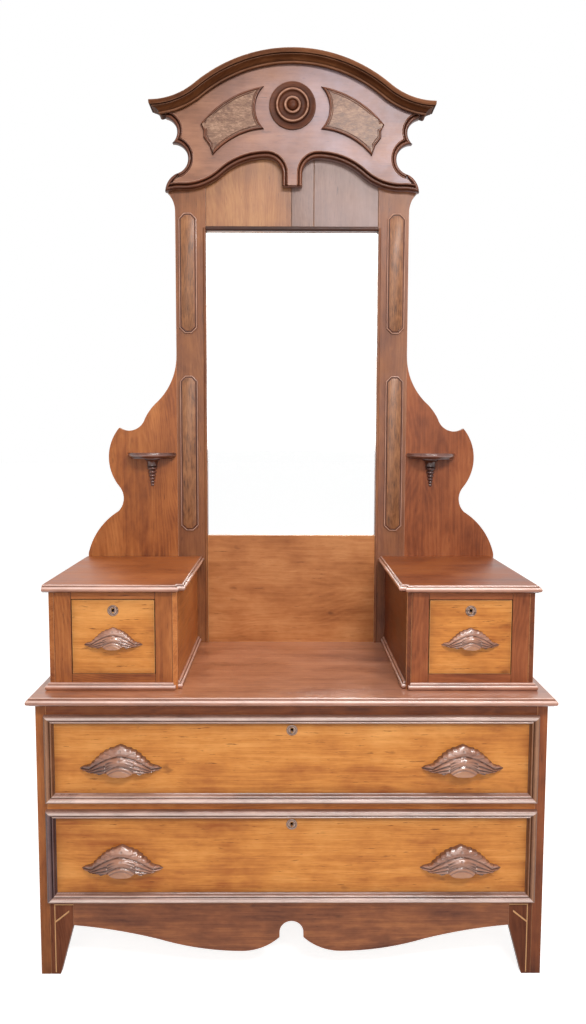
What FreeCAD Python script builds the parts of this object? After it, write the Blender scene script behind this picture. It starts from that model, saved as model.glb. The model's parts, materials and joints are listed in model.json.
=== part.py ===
# Dresser with a fixed mirror, drop well and two deck boxes, millimetres.
# x runs to the right seen from the front, y runs from the front to the back, z is up.
# Every size below is measured from the front face of the case (y = 0) and the floor (z = 0);
# export() then moves the origin to the bottom centre of the whole piece of furniture.
import FreeCAD
import Part
import math
import os

Vector = FreeCAD.Vector

# ---- case ----
CASE_WIDTH = 1094.0
CASE_DEPTH = 458.0
SIDE_THICKNESS = 22.0
LEG_HEIGHT = 149.0
RAIL_THICKNESS = 22.0
RAIL_WIDTH = 60.0
TOP_RAIL_THICKNESS = 28.0
LOWER_OPENING_HEIGHT = 201.0
UPPER_OPENING_HEIGHT = 187.0
BACK_BOARD_THICKNESS = 12.0
BACK_BOARD_COUNT = 4
BACK_RABBET = 10.0
RUNNER_WIDTH = 30.0

# ---- feet and apron ----
APRON_THICKNESS = 20.0
FOOT_BRACKET_WIDTH = 50.0
FOOT_WIDTH_AT_FLOOR = 42.0
FOOT_SHOULDER_HEIGHT = 112.0
APRON_LOWEST = 52.0
APRON_LOBE_X = 108.0
APRON_RISE_X = 290.0
APRON_RISE_HEIGHT = 80.0
APRON_ARCH_RADIUS = 26.0
APRON_ARCH_TOP = 121.0
APRON_ARCH_FOOT = 84.0
APRON_LOBE_SHOULDER = (61.0, 9.5)
APRON_SWEEP_MIDDLE = (205.0, 8.0)
APRON_END_BULGE = 4.0
INLAY_WIDTH = 1.8
INLAY_DEPTH = 1.5
INLAY_FROM_SIDE = 9.0
INLAY_FOOT = 4.0
INLAY_ABOVE_LEG = 11.0
INLAY_DIAGONAL = (118.0, 142.0)
INLAY_DIAGONAL_RUN = 30.0
GLUE_BLOCK_WIDTH = 18.0
GLUE_BLOCK_LENGTH = 60.0
GLUE_BLOCK_FOOT = 12.0
GLUE_BLOCK_X = (150.0, 330.0)

# ---- main top ----
MAIN_TOP_THICKNESS = 19.0
MAIN_TOP_SIDE_OVERHANG = 12.0
MAIN_TOP_FRONT_OVERHANG = 32.0

# ---- deck boxes ----
BOX_WIDTH = 276.0
BOX_FROM_CASE_SIDE = 24.0
BOX_SETBACK = 35.0
BOX_HEIGHT = 214.0
BOX_SIDE_THICKNESS = 11.0
BOX_FRAME_THICKNESS = 20.0
BOX_STILE_WIDTH = 37.0
BOX_BOTTOM_RAIL = 35.0
BOX_TOP_RAIL = 16.0
BOX_TOP_THICKNESS = 17.0
BOX_TOP_FRONT_OVERHANG = 18.0
BOX_TOP_OUTER_OVERHANG = 10.0
BOX_TOP_INNER_OVERHANG = 18.0
BOX_BASE_HEIGHT = 16.0
BOX_BASE_PROJECTION = 9.0
CORNER_NOTCH = 13.0
DECK_RUNNER_LEDGE = 16.0
DECK_GUIDE_HEIGHT = 26.0

# ---- mirror frame ----
STILE_THICKNESS = 24.0
STILE_WIDTH = 77.5
STILE_BOTTOM = 240.0
STILE_HEAD_WIDTH = 38.5
FLARE_WIDTH = 23.0
FLARE_HEIGHT = 56.0
FLARE_BELOW_CREST = 64.0
WING_THICKNESS = 20.0
WING_OVERHANG = 9.0
WING_SQUARE_HEIGHT = 24.0
WING_HEIGHT = 537.0
SPLASH_HEIGHT = 285.5
STILE_BESIDE_BOX = 27.5
MIRROR_HEIGHT = 779.0
FRIEZE_HEIGHT = 242.5
FRIEZE_JOINTS = (-2.0, 55.0)
GLASS_THICKNESS = 4.0
GLASS_LAP = 8.0
GLASS_CLEARANCE = 1.0
MIRROR_BACK_THICKNESS = 6.0
PANEL_BOARD_THICKNESS = 11.0
PANEL_BOARD_RECESS = 3.0
FRAME_RAIL_HEIGHT = 52.0
SIGHT_BEAD_WIDTH = 7.0

# ---- stile tablets ----
TABLET_WIDTH = 43.0
TABLET_INSET = 11.5
TABLET_FOOT = 12.5
TABLET_LOWER_LENGTH = 402.0
TABLET_UPPER_LENGTH = 301.0
TABLET_SPACE = 107.0
TABLET_BORDER = 4.5
TABLET_CLIP = 11.0
TABLET_STEP = 3.0
TABLET_RISE = 6.0

# ---- candle shelves ----
SHELF_RADIUS = 63.0
SHELF_FROM_STILE = 2.0
SHELF_ABOVE_BOX = 288.0
SHELF_THICKNESS = 15.0
DROP_LENGTH = 72.0
DROP_RADIUS = 17.0

# ---- crest ----
CREST_BACKING = 12.0
CREST_FACE_THICKNESS = 14.0
CREST_ABOVE_MIRROR = 106.5
CREST_TIP_OUT = 22.0
CREST_END_OUT = 19.0
CREST_END_RISE = 192.0
CREST_BAND = 14.0
ARCH_RISE = 123.0
ARCH_CROWN_RADIUS = 385.0
CORNICE_HEIGHT = 28.0
CORNICE_PROJECTION = 36.0
PENDANT_HALF_WIDTH = 25.0
BOSS_RADIUS = 58.0
BOSS_HEIGHT = 14.0
BOSS_RISE = 190.0
CREST_PANEL_GAP = 13.0
CREST_PANEL_INSET = 88.0
CREST_PANEL_RISE = 8.0

# ---- drawers ----
DRAWER_GAP = 1.5
RUNNING_GAP = 0.3
LONG_FRONT_THICKNESS = 22.0
DECK_FRONT_THICKNESS = 20.0
DRAWER_SIDE_THICKNESS = 12.0
DRAWER_BOTTOM_THICKNESS = 6.0
DRAWER_BOTTOM_RAISE = 9.0
DRAWER_GROOVE = 6.0
DRAWER_SIDE_DROP = 20.0
DRAWER_BACK_SPACE = 26.0
TAIL_LENGTH = 15.0
TAIL_COUNT = 4
TAIL_SPREAD = 4.0
MOULDING_WIDTH = 20.0
MOULDING_HEIGHT = 14.0
MOULDING_LIP = 3.0
LONG_PULL_X = 366.0
LONG_PULL_RISE = 61.0
LONG_PULL_WIDTH = 176.0
DECK_PULL_RISE = 56.0
DECK_PULL_WIDTH = 126.0
ESCUTCHEON_RADIUS = 12.0
ESCUTCHEON_THICKNESS = 1.5
KEYHOLE_RADIUS = 2.6
KEYHOLE_LENGTH = 8.0
LONG_KEY_DROP = 31.0
DECK_KEY_DROP = 24.5
LOCK_WIDTH = 56.0
LOCK_THICKNESS = 10.0
LOCK_BELOW_KEY = 11.0
BOLT_WIDTH = 18.0
BOLT_THICKNESS = 6.0
BOLT_HEIGHT = 15.0
BOLT_CLEARANCE = 0.3
MORTISE_DEPTH = 8.0
MORTISE_CLEARANCE = 1.0

# ---- carved outlines, as templates ----
# A step is (a, b) for a straight cut, or (a, b, a, b) for an arc through the first point.
# The wing's scrolled edge from its square foot up to the stile, as shares of width and height.
WING_SCROLL = [(0.868, 0.168, 0.660, 0.251), (0.600, 0.313, 0.651, 0.374), (0.757, 0.521, 0.638, 0.655),
               (0.506, 0.642, 0.353, 0.700), (0.302, 0.737, 0.204, 0.784), (0.053, 0.883, 0.0, 1.0)]
# The crest's lower edge from the pendant's foot to the outer tip: (length,) runs straight,
# (radius, turn) is an arc turning left by turn degrees, or right where it is negative.
CREST_LOWER_EDGE = [(29.0,), (40.0, -90.0), (170.0, -41.0), (147.0, 43.0), (110.0, -22.0)]
# The crest's side scrolls above the tip, as shares of CREST_END_RISE: out from the stile's edge,
# up from the pendant's foot.
CREST_SCROLLS = [(0.052, 0.083, -0.036, 0.151), (-0.188, 0.349, 0.016, 0.536)]
CREST_LAST_SCROLL = (-0.047, 0.703)
# The raised crest panel from its upper inner corner: share of its width, share of CREST_END_RISE up.
CREST_PANEL_OUTLINE = [(0.0, 1.234), (0.535, 1.094, 1.0, 0.786), (0.952, 0.708), (0.955, 0.625),
                       (0.860, 0.521), (0.809, 0.401), (0.446, 0.625, 0.0, 0.714), (0.134, 0.979, 0.0, 1.234)]
# The cornice from its back edge over its fascia, cove and bead, as shares of its height and projection.
CORNICE_SECTION = [(0.0, 1.0), (0.4, 0.97), (0.5, 0.64), (0.84, 0.33), (1.0, 0.19), (0.9, 0.0)]
# The boss from its outer edge to its middle, as shares of its radius and height.
BOSS_SECTION = [(1.0, 0.0), (1.0, 0.36), (0.76, 0.36), (0.76, 0.76), (0.4, 0.76), (0.4, 1.0), (0.0, 1.0)]
# The shelf's edge and the split drop under it, as shares of radius and height, down from the top.
SHELF_SECTION = [(1.0, 0.0), (1.0, 0.55), (0.84, 0.55), (0.84, 1.0), (0.0, 1.0)]
DROP_SECTION = [(1.22, 0.0), (1.22, 0.12), (0.95, 0.12), (0.95, 0.34), (0.68, 0.34), (0.68, 0.58), (0.0, 1.0)]
# The right half of a carved leaf 176 wide from its peak to the middle of its scalloped foot,
# and the thickness of the hood over it: across, as (from the middle, forward), and from its
# foot up, as (forward, up).
LEAF_WIDTH = 176.0
LEAF_PEAK = (0.0, 65.0)
LEAF_EDGE = [(10.0, 59.5), (22.0, 54.5), (34.0, 53.0), (42.0, 44.0), (54.0, 37.0), (66.0, 21.5), (80.0, 18.0),
             (88.0, 11.5), (68.0, 6.5), (56.0, 9.0), (44.0, 3.5), (30.0, 6.0), (12.0, 0.8), (0.0, 0.0)]
HOOD_SECTION = [(88.0, 4.0), (66.0, 16.5), (24.0, 26.0)]
HOOD_RISE = [(25.0, 0.0), (26.0, 8.0), (22.5, 34.0), (10.0, 65.0), (0.0, 65.0)]
FINGER_HOLLOW_RADIUS = 10.0
FINGER_HOLLOW_HALF = 40.0

# ---- heights and planes that follow from the sizes above ----
CASE_HALF = CASE_WIDTH / 2
INNER_HALF = CASE_HALF - SIDE_THICKNESS
LOWER_OPENING = (LEG_HEIGHT + RAIL_THICKNESS, LEG_HEIGHT + RAIL_THICKNESS + LOWER_OPENING_HEIGHT)
UPPER_OPENING = (LOWER_OPENING[1] + RAIL_THICKNESS,
                 LOWER_OPENING[1] + RAIL_THICKNESS + UPPER_OPENING_HEIGHT)
CASE_HEIGHT = UPPER_OPENING[1] + TOP_RAIL_THICKNESS
DECK = CASE_HEIGHT + MAIN_TOP_THICKNESS
BACK_PLANE = CASE_DEPTH + STILE_THICKNESS
BOX_OUTER_X = CASE_HALF - BOX_FROM_CASE_SIDE
BOX_INNER_X = BOX_OUTER_X - BOX_WIDTH
BOX_TOP_UNDERSIDE = DECK + BOX_HEIGHT
DECK_OPENING_X = (BOX_INNER_X + BOX_SIDE_THICKNESS + BOX_STILE_WIDTH,
                  BOX_OUTER_X - BOX_SIDE_THICKNESS - BOX_STILE_WIDTH)
DECK_OPENING_Z = (DECK + BOX_BOTTOM_RAIL, BOX_TOP_UNDERSIDE - BOX_TOP_RAIL)
STILE_INNER_X = BOX_INNER_X - STILE_BESIDE_BOX
STILE_OUTER_X = STILE_INNER_X + STILE_WIDTH
MIRROR_BOTTOM = DECK + SPLASH_HEIGHT
MIRROR_TOP = MIRROR_BOTTOM + MIRROR_HEIGHT
FRIEZE_TOP = MIRROR_TOP + FRIEZE_HEIGHT
PANEL_FRONT = CASE_DEPTH + PANEL_BOARD_RECESS
GLASS_FRONT = PANEL_FRONT + PANEL_BOARD_THICKNESS
GLASS_BOTTOM = MIRROR_BOTTOM - GLASS_LAP
GLASS_TOP = MIRROR_TOP + GLASS_LAP
SHELF_TOP = BOX_TOP_UNDERSIDE + SHELF_ABOVE_BOX
SHELF_CENTRE_X = STILE_OUTER_X + SHELF_FROM_STILE + SHELF_RADIUS
BACKING_FACE = CASE_DEPTH - CREST_BACKING
CREST_FACE = BACKING_FACE - CREST_FACE_THICKNESS
CREST_FOOT = MIRROR_TOP + CREST_ABOVE_MIRROR
CREST_TIP_X = STILE_OUTER_X + CREST_TIP_OUT
CREST_END_X = STILE_OUTER_X + CREST_END_OUT
ARCH_HALF_WIDTH = CREST_END_X + CORNICE_PROJECTION
ARCH_END_HEIGHT = CREST_FOOT + CREST_END_RISE
ARCH_TOP = (0.0, ARCH_END_HEIGHT + ARCH_RISE)
ORIGIN_Y = (BACK_PLANE - MAIN_TOP_FRONT_OVERHANG) / 2


# ---- geometry helpers ----
PLACE = {
    "x": lambda level, a, b: Vector(level, a, b),
    "y": lambda level, a, b: Vector(a, level, b),
    "z": lambda level, a, b: Vector(a, b, level),
}
DIRECTION = {"x": Vector(1, 0, 0), "y": Vector(0, 1, 0), "z": Vector(0, 0, 1)}


def block(x, y, z):
    """A rectangular board between two limits along each axis."""
    return Part.makeBox(x[1] - x[0], y[1] - y[0], z[1] - z[0], Vector(x[0], y[0], z[0]))


def flat_face(axis, level, start, steps):
    """A face across an axis inside an outline; the last point joins back to the start."""
    place = PLACE[axis]
    here = start
    edges = []
    for step in steps + [start]:
        if math.dist(here, step[-2:]) < 1e-6:
            continue
        if len(step) == 2:
            edge = Part.LineSegment(place(level, *here), place(level, *step))
        else:
            edge = Part.Arc(place(level, *here), place(level, *step[:2]), place(level, *step[2:]))
        edges.append(edge.toShape())
        here = step[-2:]
    return Part.Face(Part.Wire(edges))


def prism(axis, limits, start, steps):
    """The outline pushed along an axis between two limits."""
    face = flat_face(axis, limits[0], start, steps)
    return face.extrude(DIRECTION[axis] * (limits[1] - limits[0]))


def mapped(start, steps, where):
    """The same outline with every point moved by where(a, b)."""
    moved = [where(*step) if len(step) == 2 else where(*step[:2]) + where(*step[2:]) for step in steps]
    return where(*start), moved


def reversed_steps(start, steps):
    """The same open outline walked from its other end."""
    ends = [start] + [step[-2:] for step in steps]
    back = [step[:2] + ends[i] if len(step) == 4 else ends[i] for i, step in enumerate(steps)]
    return ends[-1], back[::-1]


def mirrored(shape):
    return shape.mirror(Vector(0, 0, 0), Vector(1, 0, 0))


def both_sides(shapes):
    """Each shape and its mirror image on the left."""
    return [mirrored(shape) for shape in shapes] + list(shapes)


def united(shapes):
    """One solid from shapes that touch or overlap."""
    return shapes[0].multiFuse(shapes[1:]).removeSplitter()


def tangent_steps(start, heading, moves):
    """Steps of a smooth path from (length,) straight runs and (radius, turn) arcs."""
    (a, b), angle = start, math.radians(heading)
    steps = []
    for move in moves:
        if len(move) == 1:
            a, b = a + move[0] * math.cos(angle), b + move[0] * math.sin(angle)
            steps.append((a, b))
            continue
        radius = math.copysign(move[0], move[1])
        centre = (a - radius * math.sin(angle), b + radius * math.cos(angle))
        turned = [angle + math.radians(move[1]) * share for share in (0.5, 1)]
        points = [(centre[0] + radius * math.sin(t), centre[1] - radius * math.cos(t)) for t in turned]
        steps.append(points[0] + points[1])
        (a, b), angle = points[1], turned[1]
    return steps


def direction(start, end):
    return math.degrees(math.atan2(end[1] - start[1], end[0] - start[0]))


def travel(here, step):
    """Direction in degrees where a step starts, and how far it turns to the left."""
    end, turn = step[-2:], 0.0
    if len(step) == 4:
        middle = step[:2]
        bend = direction(middle, end) - direction(here, middle)
        turn = 2 * ((bend + 180.0) % 360.0 - 180.0)
    return direction(here, end) - turn / 2, turn


def moulded_run(start, steps, profile_start, profile, level):
    """A moulding along a path in the xz plane. The profile's first coordinate is measured to
    the left of the path, its second forward from the plane y = level."""
    runs, here = [], start
    for step in steps:
        heading, turn = travel(here, step)
        section = flat_face("x", 0.0, *mapped(profile_start, profile, lambda side, out: (level - out, side)))
        section.rotate(Vector(0, 0, 0), Vector(0, -1, 0), heading)
        section.translate(Vector(here[0], 0, here[1]))
        length = math.dist(here, step[-2:])
        ahead = math.radians(heading)
        if turn:
            radius = length / (2 * math.sin(math.radians(turn) / 2))
            centre = Vector(here[0] - radius * math.sin(ahead), level, here[1] + radius * math.cos(ahead))
            runs.append(section.revolve(centre, Vector(0, -math.copysign(1, turn), 0), abs(turn)))
        else:
            runs.append(section.extrude(Vector(math.cos(ahead), 0, math.sin(ahead)) * length))
        here = step[-2:]
    return united(runs) if len(runs) > 1 else runs[0]


def turned_upright(centre_x, axis_y, start, steps):
    """Half of a lathe turning on an upright axis, split against a board behind it."""
    face = flat_face("y", axis_y, *mapped(start, steps, lambda radius, height: (centre_x + radius, height)))
    return face.revolve(Vector(centre_x, axis_y, 0), Vector(0, 0, 1), -180.0)


# ---- edge shapes, as (inset from the tip, drop from the top) ----
def bead_nose(thickness):
    """A thin fillet, a large rounded bead and a small cove below it."""
    bead_top, bead_foot = 2.5, thickness - 4.5
    bead = bead_foot - bead_top
    start = (9.0, 0.0)
    steps = [(9.0, bead_top), (6.0, bead_top), (2.0, bead_top + bead * 0.14), (0.0, bead_top + bead * 0.42),
             (0.6, bead_top + bead * 0.72), (5.0, bead_foot), (7.0, thickness - 1.5), (11.0, thickness)]
    return start, steps


def base_nose(height, projection):
    """A cove, a bead and a small plinth."""
    start = (projection, 0.0)
    steps = [(projection - 3.0, 1.2), (projection - 4.0, 4.0), (3.5, 4.0), (1.0, 5.8), (0.0, 8.0),
             (1.0, height - 5.5), (3.5, height - 4.0), (1.0, height - 4.0), (1.0, height)]
    return start, steps


def moulded_slab(x, y_front, y_back, top, thickness, nose):
    """A board with the nose worked along its front and both ends, mitred at the corners."""
    front_start, front = mapped(*nose, lambda inset, drop: (y_front + inset, top - drop))
    across = prism("x", x, front_start, front + [(y_back, top - thickness), (y_back, top)])
    left_start, left = mapped(*nose, lambda inset, drop: (x[0] + inset, top - drop))
    right_start, right = reversed_steps(*mapped(*nose, lambda inset, drop: (x[1] - inset, top - drop)))
    along = prism("y", (y_front, y_back), left_start, left + [right_start] + right)
    return across.common(along)


def notched_slab(x_inner, x_outer, y_front, y_back, top, thickness, nose):
    """A moulded board whose inner front corner is stepped back by CORNER_NOTCH each way."""
    wide = moulded_slab((x_inner, x_outer), y_front + CORNER_NOTCH, y_back, top, thickness, nose)
    long = moulded_slab((x_inner + CORNER_NOTCH, x_outer), y_front, y_back, top, thickness, nose)
    return united([wide, long])


def mitred_frame(x, z, width, plane, start, profile):
    """Four strips round a rectangle, mitred at the corners. The profile is (distance in from
    the outer edge, height in front of the plane)."""
    corners = [(x[0], z[0]), (x[1], z[0]), (x[1], z[1]), (x[0], z[1])]
    inner = [(x[0] + width, z[0] + width), (x[1] - width, z[0] + width),
             (x[1] - width, z[1] - width), (x[0] + width, z[1] - width)]
    runs = [
        prism("x", x, *mapped(start, profile, lambda w, h: (plane - h, z[0] + w))),
        prism("z", z, *mapped(start, profile, lambda w, h: (x[1] - w, plane - h))),
        prism("x", x, *mapped(start, profile, lambda w, h: (plane - h, z[1] - w))),
        prism("z", z, *mapped(start, profile, lambda w, h: (x[0] + w, plane - h))),
    ]
    strips = []
    for i, run in enumerate(runs):
        j = (i + 1) % 4
        wedge = prism("y", (plane - MOULDING_HEIGHT - 1, plane + 1),
                      corners[i], [corners[j], inner[j], inner[i]])
        strips.append(run.common(wedge))
    return strips


# ---- case ----
def case_side():
    """The right side board: rabbeted for the back, its lower edge cut away between two feet."""
    depth, foot = CASE_DEPTH, FOOT_WIDTH_AT_FLOOR
    shoulder = SIDE_THICKNESS + FOOT_BRACKET_WIDTH
    board = prism("x", (INNER_HALF, CASE_HALF), (0, 0),
                  [(foot, 0), (shoulder, FOOT_SHOULDER_HEIGHT), (depth - shoulder, FOOT_SHOULDER_HEIGHT),
                   (depth - foot, 0), (depth, 0), (depth, CASE_HEIGHT), (0, CASE_HEIGHT)])
    rabbet = block((INNER_HALF, INNER_HALF + BACK_RABBET),
                   (depth - BACK_BOARD_THICKNESS, depth), (LEG_HEIGHT, CASE_HEIGHT))
    return board.cut(rabbet)


def back_boards():
    """Upright boards side by side in the rabbets of the case sides."""
    half = INNER_HALF + BACK_RABBET
    width = 2 * half / BACK_BOARD_COUNT
    return [block((-half + i * width, -half + (i + 1) * width),
                  (CASE_DEPTH - BACK_BOARD_THICKNESS, CASE_DEPTH), (LEG_HEIGHT, CASE_HEIGHT))
            for i in range(BACK_BOARD_COUNT)]


def rail_levels():
    """Bottom and top of the rails below, between and above the long drawers."""
    return [(LEG_HEIGHT, LOWER_OPENING[0]), (LOWER_OPENING[1], UPPER_OPENING[0]),
            (UPPER_OPENING[1], CASE_HEIGHT)]


def rail_fronts():
    """Front edge of each rail; the bottom one lies behind the apron."""
    return [APRON_THICKNESS, 0.0, 0.0]


def upright_bar(x_centre, y_centre, width, thickness, z):
    return block((x_centre - width / 2, x_centre + width / 2),
                 (y_centre - thickness / 2, y_centre + thickness / 2), z)


def bolt_mortise(x_centre, y_bolt, underside):
    """The socket above a drawer that its lock bolt rises into."""
    return upright_bar(x_centre, y_bolt, BOLT_WIDTH + 2 * MORTISE_CLEARANCE,
                       BOLT_THICKNESS + 2 * MORTISE_CLEARANCE, (underside, underside + MORTISE_DEPTH))


def front_rails():
    rails = [block((-INNER_HALF, INNER_HALF), (front, front + RAIL_WIDTH), level)
             for front, level in zip(rail_fronts(), rail_levels())]
    y_bolt = LONG_FRONT_THICKNESS - LOCK_THICKNESS / 2
    return [rails[0]] + [rail.cut(bolt_mortise(0, y_bolt, rail.BoundBox.ZMin)) for rail in rails[1:]]


def drawer_runners():
    """Side runners at each rail; the top pair keeps the upper drawer from tipping."""
    back = CASE_DEPTH - BACK_BOARD_THICKNESS
    return both_sides([block((INNER_HALF - RUNNER_WIDTH, INNER_HALF), (front + RAIL_WIDTH, back), level)
                       for front, level in zip(rail_fronts(), rail_levels())])


def apron_half_edge():
    """Lower edge of the apron from the middle of its arch to the right foot bracket."""
    end = INNER_HALF - FOOT_BRACKET_WIDTH
    arch_spring = APRON_ARCH_TOP - APRON_ARCH_RADIUS
    diagonal = APRON_ARCH_RADIUS * math.sqrt(0.5)
    middle_x = (APRON_RISE_X + end) / 2
    middle_z = (APRON_RISE_HEIGHT + FOOT_SHOULDER_HEIGHT) / 2
    return [(diagonal, arch_spring + diagonal, APRON_ARCH_RADIUS, arch_spring),
            (APRON_ARCH_RADIUS, APRON_ARCH_FOOT),
            (APRON_LOBE_SHOULDER[0], APRON_LOWEST + APRON_LOBE_SHOULDER[1], APRON_LOBE_X, APRON_LOWEST),
            (APRON_SWEEP_MIDDLE[0], APRON_LOWEST + APRON_SWEEP_MIDDLE[1], APRON_RISE_X, APRON_RISE_HEIGHT),
            (middle_x, middle_z + APRON_END_BULGE, end, FOOT_SHOULDER_HEIGHT)]


def apron():
    end = INNER_HALF - FOOT_BRACKET_WIDTH
    half = prism("y", (0, APRON_THICKNESS), (0, APRON_ARCH_TOP),
                 apron_half_edge() + [(end, LOWER_OPENING[0]), (0, LOWER_OPENING[0])])
    board = united([half, mirrored(half)])
    return board.cut(Part.makeCompound(foot_inlay()))


def foot_brackets():
    """Brackets between the apron and the case sides, tapered inward to the floor."""
    inner = INNER_HALF - FOOT_BRACKET_WIDTH
    at_floor = CASE_HALF - FOOT_WIDTH_AT_FLOOR
    bracket = prism("y", (0, APRON_THICKNESS), (at_floor, 0),
                    [(INNER_HALF, 0), (INNER_HALF, LOWER_OPENING[0]), (inner, LOWER_OPENING[0]),
                     (inner, FOOT_SHOULDER_HEIGHT)])
    inlay = Part.makeCompound(foot_inlay())
    return [shape.cut(inlay) for shape in both_sides([bracket])]


def foot_inlay():
    """Pale stringing let into the foot brackets: an upright, a cross line and a diagonal."""
    right = INNER_HALF - INLAY_FROM_SIDE
    inner = INNER_HALF - FOOT_BRACKET_WIDTH
    top = LEG_HEIGHT + INLAY_ABOVE_LEG
    depth = (0, INLAY_DEPTH)
    upright = block((right - INLAY_WIDTH, right), depth, (INLAY_FOOT, top))
    cross = block((inner, right - INLAY_WIDTH), depth, (top - INLAY_WIDTH, top))
    low, high = INLAY_DIAGONAL
    far = right - INLAY_WIDTH
    near = far - INLAY_DIAGONAL_RUN
    slant = prism("y", depth, (far, low), [(far, low + 2 * INLAY_WIDTH), (near, high + 2 * INLAY_WIDTH),
                                           (near, high)])
    return both_sides([upright, cross, slant])


def glue_blocks():
    """Upright blocks behind the foot brackets and flat ones behind the apron."""
    back = APRON_THICKNESS + GLUE_BLOCK_WIDTH
    corner = block((INNER_HALF - GLUE_BLOCK_WIDTH, INNER_HALF), (APRON_THICKNESS, back),
                   (GLUE_BLOCK_FOOT, LEG_HEIGHT))
    flat = [block((x - GLUE_BLOCK_LENGTH / 2, x + GLUE_BLOCK_LENGTH / 2), (APRON_THICKNESS, back),
                  (LEG_HEIGHT - GLUE_BLOCK_WIDTH, LEG_HEIGHT)) for x in GLUE_BLOCK_X]
    return both_sides([corner] + flat)


def main_top():
    """The moulded top, notched at the back where the mirror stiles pass down."""
    half = CASE_HALF + MAIN_TOP_SIDE_OVERHANG
    slab = moulded_slab((-half, half), -MAIN_TOP_FRONT_OVERHANG, BACK_PLANE, DECK,
                        MAIN_TOP_THICKNESS, bead_nose(MAIN_TOP_THICKNESS))
    notch = block((STILE_INNER_X, STILE_OUTER_X), (CASE_DEPTH, BACK_PLANE), (CASE_HEIGHT, DECK))
    return slab.cut(Part.makeCompound(both_sides([notch])))


# ---- deck boxes, built on the right ----
def box_top():
    return notched_slab(BOX_INNER_X - BOX_TOP_INNER_OVERHANG, BOX_OUTER_X + BOX_TOP_OUTER_OVERHANG,
                        BOX_SETBACK - BOX_TOP_FRONT_OVERHANG, CASE_DEPTH,
                        BOX_TOP_UNDERSIDE + BOX_TOP_THICKNESS, BOX_TOP_THICKNESS,
                        bead_nose(BOX_TOP_THICKNESS))


def box_front_frame():
    """Two stiles and two rails round the deck drawer; the top rail takes the lock bolt."""
    y = (BOX_SETBACK, BOX_SETBACK + BOX_FRAME_THICKNESS)
    x, z = DECK_OPENING_X, DECK_OPENING_Z
    inner = BOX_INNER_X + BOX_SIDE_THICKNESS
    outer = BOX_OUTER_X - BOX_SIDE_THICKNESS
    stiles = [block(span, y, (DECK, BOX_TOP_UNDERSIDE)) for span in ((inner, x[0]), (x[1], outer))]
    bottom = block(x, y, (DECK, z[0]))
    y_bolt = BOX_SETBACK + DECK_FRONT_THICKNESS - LOCK_THICKNESS / 2
    top = block(x, y, (z[1], BOX_TOP_UNDERSIDE)).cut(bolt_mortise(sum(x) / 2, y_bolt, z[1]))
    return stiles + [bottom, top]


def box_sides():
    spans = ((BOX_INNER_X, BOX_INNER_X + BOX_SIDE_THICKNESS), (BOX_OUTER_X - BOX_SIDE_THICKNESS, BOX_OUTER_X))
    return [block(span, (BOX_SETBACK, CASE_DEPTH), (DECK, BOX_TOP_UNDERSIDE)) for span in spans]


def box_base_mouldings():
    """Three mitred strips round the foot of a deck box, stepped at the inner front corner."""
    x = (BOX_INNER_X - BOX_BASE_PROJECTION, BOX_OUTER_X + BOX_BASE_PROJECTION)
    front = BOX_SETBACK - BOX_BASE_PROJECTION
    ring = notched_slab(*x, front, CASE_DEPTH, DECK + BOX_BASE_HEIGHT, BOX_BASE_HEIGHT,
                        base_nose(BOX_BASE_HEIGHT, BOX_BASE_PROJECTION))
    ring = ring.cut(block((BOX_INNER_X, BOX_OUTER_X), (BOX_SETBACK, CASE_DEPTH), (DECK, BOX_TOP_UNDERSIDE)))
    middle = (x[1] - x[0]) / 2
    wedge = prism("z", (DECK, BOX_TOP_UNDERSIDE), (x[0], front),
                  [(x[1], front), (x[1] - middle, front + middle)])
    sides = ring.cut(wedge)
    return [ring.common(wedge)] + sides.Solids


def deck_runners():
    """A runner with a guide against each box side; the drawer's side slides on its ledge."""
    y = (BOX_SETBACK + BOX_FRAME_THICKNESS, CASE_DEPTH)
    floor, ledge = DECK, DECK_OPENING_Z[0]
    guide_top = ledge + DECK_GUIDE_HEIGHT
    inner = BOX_INNER_X + BOX_SIDE_THICKNESS
    outer = BOX_OUTER_X - BOX_SIDE_THICKNESS
    left, right = DECK_OPENING_X
    return [
        prism("y", y, (inner, floor), [(left + DECK_RUNNER_LEDGE, floor), (left + DECK_RUNNER_LEDGE, ledge),
                                       (left, ledge), (left, guide_top), (inner, guide_top)]),
        prism("y", y, (outer, floor), [(outer, guide_top), (right, guide_top), (right, ledge),
                                       (right - DECK_RUNNER_LEDGE, ledge),
                                       (right - DECK_RUNNER_LEDGE, floor)]),
    ]


# ---- mirror frame ----
def wing():
    """The right scrolled wing board, standing on the main top behind the deck box."""
    lap = BOX_TOP_UNDERSIDE
    outer = BOX_OUTER_X + WING_OVERHANG
    width = outer - STILE_OUTER_X
    scroll = mapped((0, 0), WING_SCROLL, lambda a, b: (STILE_OUTER_X + a * width, lap + b * WING_HEIGHT))[1]
    return prism("y", (CASE_DEPTH, CASE_DEPTH + WING_THICKNESS), (STILE_OUTER_X, DECK), [
        (BOX_OUTER_X, DECK), (BOX_OUTER_X, lap), (outer, lap), (outer, lap + WING_SQUARE_HEIGHT)] + scroll)


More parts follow.
